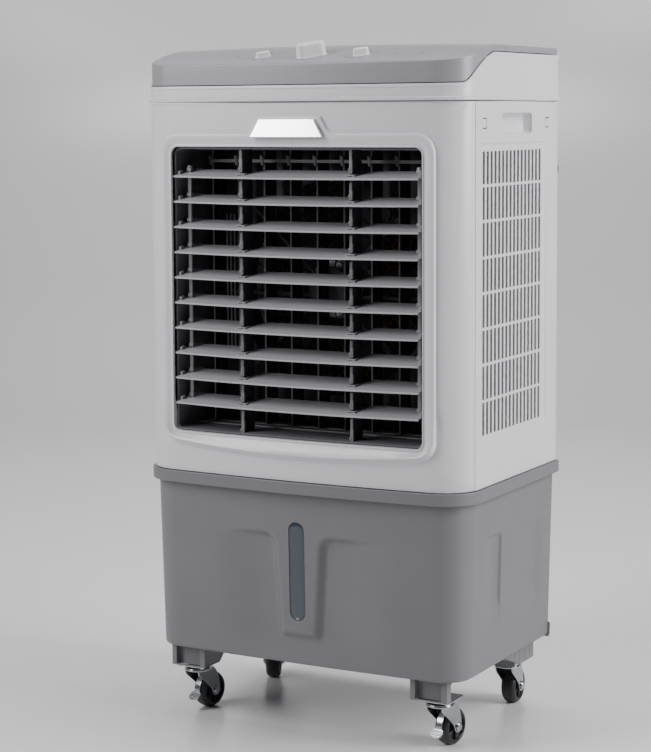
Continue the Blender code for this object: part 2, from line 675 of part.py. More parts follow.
def make_hose(start_z):
    """A hose from the pump's spout, up the rear corner, to the end of the trough."""
    way = [(0.185, 0.225, start_z), (0.185, 0.225, start_z + 0.03), (0.190, 0.233, start_z + 0.07)]
    way += [(0.204, 0.262, start_z + 0.13), (0.214, 0.279, start_z + 0.20), (0.215, 0.281, 0.50)]
    way += [(0.215, 0.281, 0.62), (0.215, 0.281, 0.74), (0.2145, 0.2805, 0.782), (0.2105, 0.280, 0.8045)]
    way += [(0.2045, 0.280, 0.8115), (0.1964, 0.280, 0.8125)]
    points = [Vector((x, FRONT + depth, z)) for x, depth, z in way]
    curve = bpy.data.curves.new("hose", "CURVE")
    curve.dimensions = "3D"
    curve.bevel_depth = 0.0045
    curve.bevel_resolution = 2
    curve.use_fill_caps = True
    spline = curve.splines.new("POLY")
    smooth = [points[0]]
    for index in range(len(points) - 1):
        before = points[max(index - 1, 0)]
        after = points[min(index + 2, len(points) - 1)]
        steps = max(2, round((points[index + 1] - points[index]).length / 0.020))
        for step in range(1, steps + 1):
            smooth.append(spline_point(before, points[index], points[index + 1], after, step / steps))
    spline.points.add(len(smooth) - 1)
    for point, place in zip(spline.points, smooth):
        point.co = (*place, 1.0)
    thing = bpy.data.objects.new("hose_route", curve)
    CUTTERS.objects.link(thing)
    bpy.context.view_layer.update()
    curve_to_mesh(thing, "hose", CLEAR_BLUE)


def spline_point(before, start, end, after, share):
    """A point of a Catmull-Rom curve between start and end."""
    pull_start = (end - before) / 2
    pull_end = (after - start) / 2
    cubic = 2 * (start - end) + pull_start + pull_end
    square = 3 * (end - start) - 2 * pull_start - pull_end
    return ((cubic * share + square) * share + pull_start) * share + start


def make_cord_gland():
    """The black gland beside the rear corner."""
    back = FRONT + BODY_DEPTH + GAP
    outline = rounded_outline((0.2225, 0.7515), (0.2365, 0.7665), 0.004, 2)
    prism("cord_gland", outline, back, FRONT + BODY_DEPTH + GLAND_PROUD, "Y", BLACK)


# ---- casters ----
def caster_frame(where):
    """Placement of a caster: its swivel axis, turned to the direction in which it trails."""
    x, depth, angle = CASTERS[where]
    return Matrix.Translation((x, FRONT + depth, 0)) @ Matrix.Rotation(math.radians(angle), 4, "Z")


def make_caster(where, with_pedal):
    """A swivel caster: plate, fork with its axle, wheel, and a foot brake on the front ones."""
    place = caster_frame(where)
    top = PEDESTAL_BOTTOM - GAP
    outline = rounded_outline((-0.024, -0.024), (0.024, 0.024), 0.004, 2)
    plate = prism("caster_plate_" + where, outline, top - 0.0022, top, "Z", CHROME)
    race = cylinder("race_" + where, 0.0170, (0, 0, top - 0.0062), (0, 0, top - 0.002), None, 24)
    combine(plate, race, "UNION")
    x, depth, _ = CASTERS[where]
    for thing in (plate, race):
        along(thing, Matrix.Translation((x, FRONT + depth, 0)))
    crown = top - 0.0062 - GAP
    fork = cylinder("caster_fork_" + where, 0.0195, (0, 0, crown - 0.0045), (0, 0, crown), CHROME, 24)
    axle_height = WHEEL_RADIUS
    half = WHEEL_WIDTH / 2
    legs = []
    for side in (-1, 1):
        arm = [(-0.012, crown - 0.0008), (-0.012, crown - 0.009), (0.012, 0.030)]
        for step in range(7):
            angle = math.radians(200 + 170 * step / 6)
            arm.append((CASTER_TRAIL + 0.0075 * math.cos(angle), axle_height + 0.0075 * math.sin(angle)))
        arm += [(CASTER_TRAIL + 0.0075, 0.034), (0.024, crown - 0.006), (0.015, crown - 0.0008)]
        x_pair = sorted((side * (half + 0.0008), side * (half + 0.0024)))
        legs.append(prism("arm_%s_%d" % (where, side), arm, x_pair[0], x_pair[1], "X"))
    axle = cylinder(
        "axle_" + where,
        0.0035,
        (-half - 0.0048, CASTER_TRAIL, axle_height),
        (half + 0.0048, CASTER_TRAIL, axle_height),
        None,
        12,
    )
    wheel = cylinder(
        "caster_wheel_" + where,
        WHEEL_RADIUS,
        (-half, CASTER_TRAIL, axle_height),
        (half, CASTER_TRAIL, axle_height),
        BLACK,
        36,
    )
    bore = cylinder(
        "wheel_bore_" + where,
        0.0039,
        (-half - 0.01, CASTER_TRAIL, axle_height),
        (half + 0.01, CASTER_TRAIL, axle_height),
        None,
        12,
    )
    pieces = [fork, *legs, axle, wheel, bore]
    for thing in pieces:
        along(thing, place)
    for leg in legs:
        combine(fork, leg, "UNION")
    combine(fork, axle, "UNION")
    combine(wheel, bore)
    swivel = place @ Vector((0, 0, crown))
    put_origin(fork, swivel)
    put_origin(wheel, place @ Vector((0, CASTER_TRAIL, axle_height)))
    if with_pedal:
        make_pedal(where, place, half)


def make_pedal(where, place, half):
    """A pressed-steel foot brake hung outside the fork, with a tab ahead of the wheel."""
    cheek_in = half + 0.0052
    pivot = (CASTER_TRAIL, WHEEL_RADIUS)
    reach = CASTER_TRAIL - WHEEL_RADIUS - 0.0020
    pedal = box("caster_brake_" + where, (-0.0085, reach - 0.014, 0.0275), (0.0085, reach, 0.0290), CHROME)
    bridge = box("bridge_" + where, (-cheek_in - 0.0012, reach - 0.003, 0.0250), (cheek_in + 0.0012, reach, 0.0300))
    pieces = [pedal, bridge]
    for side in (-1, 1):
        x = sorted((side * cheek_in, side * (cheek_in + 0.0012)))
        cheek = [(reach - 0.003, 0.0205), (reach - 0.003, 0.0300), (pivot[0] + 0.005, 0.0300), (pivot[0] + 0.005, 0.0205)]
        pieces.append(prism("cheek_%s_%d" % (where, side), cheek, x[0], x[1], "X"))
    for thing in pieces:
        along(thing, place)
    for thing in pieces[1:]:
        combine(pedal, thing, "UNION")
    put_origin(pedal, place @ Vector((0, pivot[0], pivot[1])))


make_tank()
make_tank_fittings()
make_front_panel()
make_side_panel("side_panel_left", -1)
make_side_panel("side_panel_right", 1)
make_rear_panel()
make_top_housing()
make_control_deck()
make_knob("knob_speed", 0.0, 0.041, 0.021, 0.0180, 42)
make_knob("knob_swing", -KNOB_SPACING, 0.0215, 0.011, 0.0070, 48)
make_knob("knob_cool", KNOB_SPACING, 0.0225, 0.0125, 0.0095, 35)
make_louver_frame()
make_louvers()
make_vanes()
make_fan_group()
make_wetted_parts()
make_cord_gland()
for position in CASTERS:
    make_caster(position, position.startswith("front"))
bpy.context.view_layer.update()
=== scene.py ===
"""Evaporative cooler on casters: its visible surfaces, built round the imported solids.

Metres, +Z up. The air outlet faces -Y and +X is the viewer's right. Depths are measured from the front line, the
chord of the bowed front, towards the back.
"""

import logging
import math
from dataclasses import dataclass
from enum import Enum
from typing import Callable, Iterable, Sequence

import bmesh
import bpy
from mathutils import Matrix, Vector

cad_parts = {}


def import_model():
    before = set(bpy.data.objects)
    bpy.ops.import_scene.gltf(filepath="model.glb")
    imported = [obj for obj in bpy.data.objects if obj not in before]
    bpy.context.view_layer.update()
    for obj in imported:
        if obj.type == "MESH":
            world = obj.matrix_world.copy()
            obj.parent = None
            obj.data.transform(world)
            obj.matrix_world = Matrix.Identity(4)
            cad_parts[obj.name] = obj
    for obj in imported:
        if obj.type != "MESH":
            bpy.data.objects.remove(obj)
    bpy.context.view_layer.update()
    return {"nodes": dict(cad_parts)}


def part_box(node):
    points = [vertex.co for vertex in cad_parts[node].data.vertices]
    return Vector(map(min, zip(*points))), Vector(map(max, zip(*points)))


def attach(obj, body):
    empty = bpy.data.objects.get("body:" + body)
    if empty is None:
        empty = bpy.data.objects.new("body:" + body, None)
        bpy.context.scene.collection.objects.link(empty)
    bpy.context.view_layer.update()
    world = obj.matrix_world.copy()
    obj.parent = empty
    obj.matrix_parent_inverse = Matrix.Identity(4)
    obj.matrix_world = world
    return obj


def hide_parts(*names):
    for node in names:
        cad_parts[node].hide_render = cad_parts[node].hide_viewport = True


LOG = logging.getLogger("evaporative_cooler")
MM = 0.001
WELD = 0.00001
HOUSING = "housing"
SEAM_LOW, SEAM_TOP = 0.0004, 0.0010  # gaps that the panels leave to the tank below and to the ring above

Flat = tuple[float, float]
Point = tuple[float, float, float]


# ---- small helpers ----
def mix(start: float, end: float, share: float) -> float:
    """Value at a share of the way from start to end."""
    return start + (end - start) * share


def ease(low: float, high: float, value: float) -> float:
    """Smooth step: 0 below low, 1 above high."""
    share = min(1.0, max(0.0, (value - low) / (high - low)))
    return share * share * (3 - 2 * share)


def spread(start: float, end: float, steps: int) -> list[float]:
    """Evenly spaced values from start to end, both included."""
    return [mix(start, end, step / steps) for step in range(steps + 1)]


def grid_lines(marks: Iterable[float], pitch: float) -> list[float]:
    """Sorted marks with even lines between them, no further apart than pitch.

    Args:
        marks: lengths or heights that need a line.
        pitch: widest step between two lines.

    Returns:
        The lines, in order.
    """
    ordered = sorted(set(round(mark, 6) for mark in marks))
    lines: list[float] = []
    for low, high in zip(ordered, ordered[1:]):
        steps = max(1, math.ceil((high - low) / pitch - 1e-6))
        lines.extend(spread(low, high, steps)[:-1])
    return lines + [ordered[-1]]


def rounded_rectangle(low: Flat, high: Flat, radius: float, steps: int = 6) -> list[Flat]:
    """Outline of a rectangle with round corners, counter-clockwise from its upper right.

    Args:
        low: lower left corner.
        high: upper right corner.
        radius: radius of the corners.
        steps: steps in each corner.

    Returns:
        The points, with the first not repeated.
    """
    corners = (
        (high[0] - radius, high[1] - radius, 0),
        (low[0] + radius, high[1] - radius, 90),
        (low[0] + radius, low[1] + radius, 180),
        (high[0] - radius, low[1] + radius, 270),
    )
    outline = []
    for u, v, start in corners:
        for angle in spread(math.radians(start), math.radians(start + 90), steps):
            outline.append((u + radius * math.cos(angle), v + radius * math.sin(angle)))
    return outline


def smooth_curve(points: Sequence[Sequence[float]], steps: int) -> list[Vector]:
    """Catmull-Rom curve through points, with a number of steps in each stretch.

    Args:
        points: points that the curve goes through.
        steps: steps between two points.

    Returns:
        The points of the curve.
    """
    way = [Vector(point) for point in points]
    curve = [way[0]]
    for index in range(len(way) - 1):
        before, start = way[max(index - 1, 0)], way[index]
        end, after = way[index + 1], way[min(index + 2, len(way) - 1)]
        pull_start, pull_end = (end - before) / 2, (after - start) / 2
        cubic = 2 * (start - end) + pull_start + pull_end
        square = 3 * (end - start) - 2 * pull_start - pull_end
        for share in spread(0.0, 1.0, steps)[1:]:
            curve.append(((cubic * share + square) * share + pull_start) * share + start)
    return curve


class Surface:
    """Vertices and faces of one piece, gathered from lofts, lathes, blocks and tubes."""

    def __init__(self) -> None:
        """Start empty."""
        self.vertices: list[tuple[float, ...]] = []
        self.faces: list[tuple[int, ...]] = []

    def loft(
        self,
        rings: Sequence[Sequence[Sequence[float]]],
        closed: bool = True,
        caps: bool = False,
        skip: Callable[[int, int], bool] | None = None,
    ) -> "Surface":
        """Join equal rings of points by quads.

        Args:
            rings: lists of points, each of the same length.
            closed: whether each ring closes on itself.
            caps: whether the first and last ring are filled.
            skip: tells by row and column which quads to leave out.

        Returns:
            The surface itself.
        """
        first = len(self.vertices)
        count = len(rings[0])
        for ring in rings:
            self.vertices.extend(tuple(point) for point in ring)
        for row in range(len(rings) - 1):
            for column in range(count if closed else count - 1):
                if skip is not None and skip(row, column):
                    continue
                a = first + row * count + column
                b = first + row * count + (column + 1) % count
                self.faces.append((a, b, b + count, a + count))
        if caps:
            last = first + (len(rings) - 1) * count
            self.faces.append(tuple(range(first + count - 1, first - 1, -1)))
            self.faces.append(tuple(range(last, last + count)))
        return self

    def lathe(self, profile: Sequence[Flat], place: Matrix, sides: int = 32) -> "Surface":
        """Turn a profile of radius and height round the local Z axis.

        Args:
            profile: radii and heights.
            place: where the axis stands.
            sides: sides of the turned ring.

        Returns:
            The surface itself.
        """
        rings = []
        for radius, height in profile:
            ring = []
            for step in range(sides):
                angle = 2 * math.pi * step / sides
                ring.append(place @ Vector((radius * math.cos(angle), radius * math.sin(angle), height)))
            rings.append(ring)
        return self.loft(rings, caps=True)

    def extrude(self, outline: Sequence[Flat], low: float, high: float, place: Matrix) -> "Surface":
        """Extrude a flat outline along the local Z axis."""
        rings = [[place @ Vector((u, v, level)) for u, v in outline] for level in (low, high)]
        return self.loft(rings, caps=True)

    def block(self, low: Sequence[float], high: Sequence[float], place: Matrix | None = None) -> "Surface":
        """Add a straight block between two corners, for a piece whose edges are rounded later."""
        outline = ((low[0], low[1]), (high[0], low[1]), (high[0], high[1]), (low[0], high[1]))
        return self.extrude(outline, low[2], high[2], place or Matrix.Identity(4))

    def tube(self, path: Sequence[Vector], radius: float, sides: int = 10) -> "Surface":
        """Sweep a round section along a path.

        Args:
            path: points along the middle.
            radius: radius of the section.
            sides: sides of the section.

        Returns:
            The surface itself.
        """
        rings = []
        side = Vector((0.0, 0.0, 1.0))
        for index, point in enumerate(path):
            ahead = path[min(index + 1, len(path) - 1)] - path[max(index - 1, 0)]
            ahead.normalize()
            side = side - ahead * side.dot(ahead)
            if side.length < 0.01:
                side = ahead.orthogonal()
            side.normalize()
            up = ahead.cross(side)
            ring = []
            for step in range(sides):
                angle = 2 * math.pi * step / sides
                ring.append(point + (side * math.cos(angle) + up * math.sin(angle)) * radius)
            rings.append(ring)
        return self.loft(rings, caps=True)

    def build(self, name: str, inside: Vector | None = None) -> bpy.types.Object:
        """Make the object.

        Args:
            name: the piece's name.
            inside: a point that an open shell's faces turn their backs to.

        Returns:
            The new object, linked to the scene.
        """
        mesh = bpy.data.meshes.new(name)
        mesh.from_pydata(self.vertices, [], self.faces)
        bm = bmesh.new()
        bm.from_mesh(mesh)
        bmesh.ops.remove_doubles(bm, verts=bm.verts, dist=WELD)
        bmesh.ops.recalc_face_normals(bm, faces=bm.faces)
        if inside is not None:
            lean = 0.0
            for face in bm.faces:
                lean += face.normal.dot(face.calc_center_median() - inside) * face.calc_area()
            if lean < 0:
                bmesh.ops.reverse_faces(bm, faces=bm.faces)
        bm.to_mesh(mesh)
        bm.free()
        thing = bpy.data.objects.new(name, mesh)
        bpy.context.scene.collection.objects.link(thing)
        return thing


@dataclass(frozen=True)
class Edges:
    """How a piece's mesh is finished: wall thickness, edge rounding and the angle that stays sharp."""

    wall: float = 0.0
    rounding: float = 0.0
    segments: int = 2
    sharp: float = 40.0


def settle(thing: bpy.types.Object, edges: Edges) -> bpy.types.Object:
    """Give a mesh its wall and rounded edges, and shade it with even normals.

    Args:
        thing: the mesh.
        edges: its wall, rounding and shading.

    Returns:
        The same mesh.
    """
    if edges.wall:
        wall = thing.modifiers.new("wall", "SOLIDIFY")
        wall.thickness = edges.wall
        wall.offset = -1.0
    if edges.rounding:
        rounding = thing.modifiers.new("rounding", "BEVEL")
        rounding.width = edges.rounding
        rounding.segments = edges.segments
        rounding.limit_method = "ANGLE"
        rounding.angle_limit = math.radians(38)
        rounding.use_clamp_overlap = True
    bpy.context.view_layer.update()
    graph = bpy.context.evaluated_depsgraph_get()
    mesh = bpy.data.meshes.new_from_object(thing.evaluated_get(graph))
    thing.modifiers.clear()
    thing.data = mesh
    mesh.shade_smooth()
    mesh.set_sharp_from_angle(angle=math.radians(edges.sharp))
    normals = thing.modifiers.new("even_normals", "WEIGHTED_NORMAL")
    normals.keep_sharp = True
    return thing


# ---- finishes ----
def linear(colour: str) -> tuple[float, float, float, float]:
    """Turn an sRGB hex colour into linear RGBA.

    Args:
        colour: hex colour with its leading #.

    Returns:
        Red, green, blue and alpha.
    """
    channels = []
    for start in (1, 3, 5):
        value = int(colour[start : start + 2], 16) / 255
        channels.append(value / 12.92 if value <= 0.04045 else ((value + 0.055) / 1.055) ** 2.4)
    return (*channels, 1.0)


def add_node(tree: bpy.types.NodeTree, kind: str, settings: dict | None = None, inputs: dict | None = None):
    """Add a node.

    Args:
        tree: the node tree.
        kind: Blender's name of the node type.
        settings: the node's own properties.
        inputs: values for its sockets, or the sockets that feed them.

    Returns:
        The node.
    """
    node = tree.nodes.new(kind)
    for key, value in (settings or {}).items():
        setattr(node, key, value)
    for key, value in (inputs or {}).items():
        if isinstance(value, bpy.types.NodeSocket):
            tree.links.new(value, node.inputs[key])
        else:
            node.inputs[key].default_value = value
    return node


@dataclass(frozen=True)
class Finish:
    """A real material as moulded, pressed, plated or turned.

    The colour drifts between two near tones over the drift length, the roughness changes with the same drift, and
    the grain is a fine relief.
    """

    name: str
    colour: str
    second: str
    roughness: float
    roughness_drift: float = 0.04
    metallic: float = 0.0
    ior: float = 1.5
    coat: float = 0.0
    coat_roughness: float = 0.1
    transmission: float = 0.0
    sheen: float = 0.0
    drift_mm: float = 60.0
    grain_mm: float = 1.2
    grain_depth_mm: float = 0.01
    stretch: Point = (1.0, 1.0, 1.0)

    def material(self) -> bpy.types.Material:
        """Make the material once and return it from then on."""
        made = bpy.data.materials.get(self.name)
        return made if made is not None else self.make()

    def make(self) -> bpy.types.Material:
        """Build the node tree.

        Returns:
            The new material.
        """
        made = bpy.data.materials.new(self.name)
        made.use_nodes = True
        tree = made.node_tree
        tree.nodes.clear()
        place = add_node(tree, "ShaderNodeTexCoord")
        laid = add_node(
            tree, "ShaderNodeMapping", inputs={"Vector": place.outputs["Object"], "Scale": self.stretch}
        )
        drift = add_node(
            tree,
            "ShaderNodeTexNoise",
            inputs={"Vector": laid.outputs[0], "Scale": 1 / (self.drift_mm * MM), "Detail": 4.0},
        )
        tone = add_node(
            tree,
            "ShaderNodeMix",
            {"data_type": "RGBA"},
            {0: drift.outputs[0], 6: linear(self.colour), 7: linear(self.second)},
        )
        gloss = add_node(
            tree,
            "ShaderNodeMapRange",
            inputs={
                "Value": drift.outputs[0],
                "To Min": self.roughness - self.roughness_drift,
                "To Max": self.roughness + self.roughness_drift,
            },
        )
        height = self.height(tree, laid.outputs[0])
        relief = add_node(
            tree,
            "ShaderNodeBump",
            inputs={"Height": height, "Distance": self.grain_depth_mm * MM, "Strength": 1.0},
        )
        shader = add_node(
            tree,
            "ShaderNodeBsdfPrincipled",
            inputs={
                "Base Color": tone.outputs[2],
                "Roughness": gloss.outputs[0],
                "Normal": relief.outputs[0],
                "Metallic": self.metallic,
                "IOR": self.ior,
                "Coat Weight": self.coat,
                "Coat Roughness": self.coat_roughness,
                "Transmission Weight": self.transmission,
                "Sheen Weight": self.sheen,
            },
        )
        add_node(tree, "ShaderNodeOutputMaterial", inputs={"Surface": shader.outputs[0]})
        return made

    def height(self, tree: bpy.types.NodeTree, place: bpy.types.NodeSocket) -> bpy.types.NodeSocket:
        """The fine relief: here an even moulded grain.

        Args:
            tree: the material's node tree.
            place: socket with the position to read.

        Returns:
            Socket with the height.
        """
        grain = add_node(
            tree,
            "ShaderNodeTexNoise",
            inputs={"Vector": place, "Scale": 1 / (self.grain_mm * MM), "Detail": 2.0, "Roughness": 0.6},
        )
        return grain.outputs[0]


@dataclass(frozen=True)
class Fibrous(Finish):
    """Paper or cardboard: fibres a few millimetres long give it a streaked, matt face."""

    fibre_mm: float = 4.0

    def height(self, tree: bpy.types.NodeTree, place: bpy.types.NodeSocket) -> bpy.types.NodeSocket:
        """Short fibres laid along Z.

        Args:
            tree: the material's node tree.
            place: socket with the position to read.

        Returns:
            Socket with the height.
        """
        laid = add_node(tree, "ShaderNodeMapping", inputs={"Vector": place, "Scale": (1.0, 1.0, 0.25)})
        fibres = add_node(
            tree,
            "ShaderNodeTexNoise",
            inputs={"Vector": laid.outputs[0], "Scale": 1 / (self.fibre_mm * MM), "Detail": 6.0, "Roughness": 0.7},
        )
        return fibres.outputs[0]


# Acrylonitrile butadiene styrene, injection moulded in a fine spark-eroded tool: an even satin white with soft,
# slightly spread highlights. The true grain of 0.1 mm is too fine to show, so it is drawn at 1 mm.
WHITE_ABS = Finish(
    "abs_white_moulded", "#dcdcdf", "#d3d3d7", 0.26, drift_mm=140, grain_mm=1.0, grain_depth_mm=0.006,
)
# The same polymer in mid grey, with a coarser tool texture: softer highlights and a slight mottle.
GREY_ABS = Finish(
    "abs_grey_textured", "#77767a", "#706f73", 0.42, drift_mm=90, grain_mm=1.3, grain_depth_mm=0.014,
)
# Grey ABS of the lid, polished tool: it mirrors the lights more sharply than the tank.
DECK_ABS = Finish(
    "abs_grey_satin_lid", "#929296", "#8b8b90", 0.34, drift_mm=120, grain_mm=1.0, grain_depth_mm=0.006,
)
# Polypropylene blades, injection moulded: waxy, with flow lines along the blade.
BLADE_PP = Finish(
    "polypropylene_blade_grey", "#aeaeb2", "#a5a5a9", 0.40, drift_mm=30, grain_mm=1.6, grain_depth_mm=0.010,
    stretch=(0.2, 1.0, 1.0),
)
# Black-grey polypropylene of the duct, vanes and fan: a dull gloss that fades into the dark.
DUCT_PP = Finish(
    "polypropylene_duct_dark", "#3f3f44", "#38383d", 0.45, drift_mm=50, grain_mm=1.2,
    grain_depth_mm=0.012,
)
VANE_PP = Finish(
    "polypropylene_vane_dark", "#2a2a2e", "#242428", 0.42, drift_mm=40, grain_mm=1.2,
    grain_depth_mm=0.010,
)
# White ABS knobs from a polished tool: a clear gloss with small sharp highlights.
KNOB_ABS = Finish(
    "abs_white_polished", "#ececec", "#e4e4e6", 0.18, drift_mm=20, grain_mm=0.8, grain_depth_mm=0.002,
    coat=0.3,
)
# The same grey polypropylene in the small clips and link bars, whose thin walls look paler.
CLIP_PP = Finish(
    "polypropylene_clip_grey", "#a4a4a8", "#98989c", 0.38, drift_mm=15, grain_mm=1.0,
    grain_depth_mm=0.006,
)
# ABS badge plate, vacuum metallised and lacquered: it throws the key light back as a near-white glare.
BADGE_ABS = Finish("abs_badge_metallised", "#fbfbfb", "#f8f8f8", 0.16, roughness_drift=0.02, metallic=0.9, drift_mm=40,
                   grain_mm=1.0, grain_depth_mm=0.001)
# Grey polypropylene of the outlet's lining: waxy and dull. The mullions behind the blades are the same plastic,
# darkened with painted shade for their shaded sides.
LINING_PP = Finish(
    "polypropylene_lining_grey", "#6c6c70", "#646468", 0.42, drift_mm=40, grain_mm=1.2,
    grain_depth_mm=0.010,
)
# Painted shade: the lining's plastic darkened where the mullions' sides stand in shade.
MULLION_PP_PAINTED_SHADE = Finish(
    "polypropylene_mullion_painted_shade", "#3c3c40", "#36363a", 0.45, drift_mm=30, grain_mm=1.2,
    grain_depth_mm=0.010,
)
NOSE_PP = Finish(
    "polypropylene_nose_grey", "#7c7c80", "#727276", 0.38, drift_mm=15, grain_mm=1.0,
    grain_depth_mm=0.006,
)
STAY_PP = Finish(
    "polypropylene_stay_grey", "#5e5e62", "#55555a", 0.42, drift_mm=30, grain_mm=1.2,
    grain_depth_mm=0.010,
)
# Bright zinc-plated straightened wire: thin pale lines.
ZINC_WIRE = Finish(
    "zinc_plated_wire", "#c9cbcd", "#b7babd", 0.3, metallic=0.6, drift_mm=20, grain_mm=1.0,
    grain_depth_mm=0.01,
)
# Powder-coated steel wire of the guard: dark satin.
GUARD_WIRE = Finish(
    "guard_wire_coated", "#2f2f33", "#29292c", 0.4, drift_mm=20, grain_mm=1.0, grain_depth_mm=0.01,
)
# Printed ink of the dial marks: flat, dark and slightly rough.
MARK_INK = Finish(
    "pad_print_ink_dark", "#3a3a3d", "#333336", 0.6, drift_mm=8, grain_mm=0.6, grain_depth_mm=0.004,
)
# Tinted polystyrene of the level window: a glossy blue-grey skin, drawn opaque, whose dark tone is partly the tint and
# partly painted shade of the unlit tank behind it.
WINDOW_TINT_AND_SHADE_PS = Finish(
    "polystyrene_window_tint_and_painted_shade", "#2c3945", "#24313e", 0.12, roughness_drift=0.02, ior=1.59, coat=0.8, coat_roughness=0.04,
    drift_mm=50, grain_mm=2.0, grain_depth_mm=0.001,
)
# Zinc-plated, chromated pressed steel of the casters: bright, with fine rolling marks.
PLATED_STEEL = Finish(
    "zinc_plated_steel", "#c6c9cc", "#aeb2b6", 0.22, roughness_drift=0.06, metallic=1.0, drift_mm=9, grain_mm=0.7,
    grain_depth_mm=0.006, stretch=(1.0, 1.0, 0.4),
)
# Galvanised motor cans: duller, with a spangled tone.
CAN_STEEL = Finish(
    "galvanised_motor_can", "#a3a6a9", "#8c8f93", 0.36, metallic=1.0, drift_mm=12, grain_mm=1.0, grain_depth_mm=0.01
)
# Moulded polypropylene wheels: near black, waxy, lightly scuffed on the tread.
WHEEL_PP = Finish("polypropylene_wheel_black", "#1b1b1d", "#242427", 0.38, roughness_drift=0.1, drift_mm=12, grain_mm=0.9,
                  grain_depth_mm=0.012)
# Resin-stiffened kraft paper of the cooling pads: matt brown-grey, fibrous.
KRAFT_PAD = Fibrous("kraft_paper_pad", "#8d7a66", "#75634f", 0.9, drift_mm=25, grain_depth_mm=0.15, sheen=0.1)
# Milky vinyl hose: soft highlights.
VINYL_HOSE = Finish("vinyl_hose_milky", "#9aa09c", "#8c938f", 0.28, drift_mm=25, grain_mm=2.0, grain_depth_mm=0.01,
                    coat=0.2)
# Nitrile rubber of the cord gland and drain plug: dense black and matt.
GLAND_RUBBER = Finish(
    "nitrile_rubber_black", "#18181a", "#202023", 0.6, drift_mm=10, grain_mm=0.8, grain_depth_mm=0.02,
)
# Laminate of the floor: pale and almost even.
FLOOR_LAMINATE = Finish(
    "laminate_pale", "#dddcdd", "#d8d7d8", 0.24, drift_mm=600, grain_mm=8.0, grain_depth_mm=0.01,
)


class Slot(Enum):
    """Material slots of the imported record."""

    WHITE = "white_shell"
    GREY = "grey_shell"
    LOUVER = "louver_grey"
    BLACK = "inner_black"
    WINDOW = "window_tint"
    PAPER = "paper_comb"
    CHROME = "chrome"
    STEEL = "motor_steel"
    WHEEL = "wheel_black"
    KNOB = "knob_white"


def seat(
    thing: bpy.types.Object, finish: Finish, body: str = HOUSING, stands_for: Sequence[str] = ()
) -> bpy.types.Object:
    """Dress a piece, ride it on its body and hide the solids that it stands for.

    Args:
        thing: the piece, in place.
        finish: its material.
        body: the body that it moves with.
        stands_for: the solids that it replaces.

    Returns:
        The piece.
    """
    thing.data.materials.clear()
    thing.data.materials.append(finish.material())
    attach(thing, body)
    if stands_for:
        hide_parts(*stands_for)
    LOG.info("%s on %s: %d faces", thing.name, body, len(thing.data.polygons))
    return thing


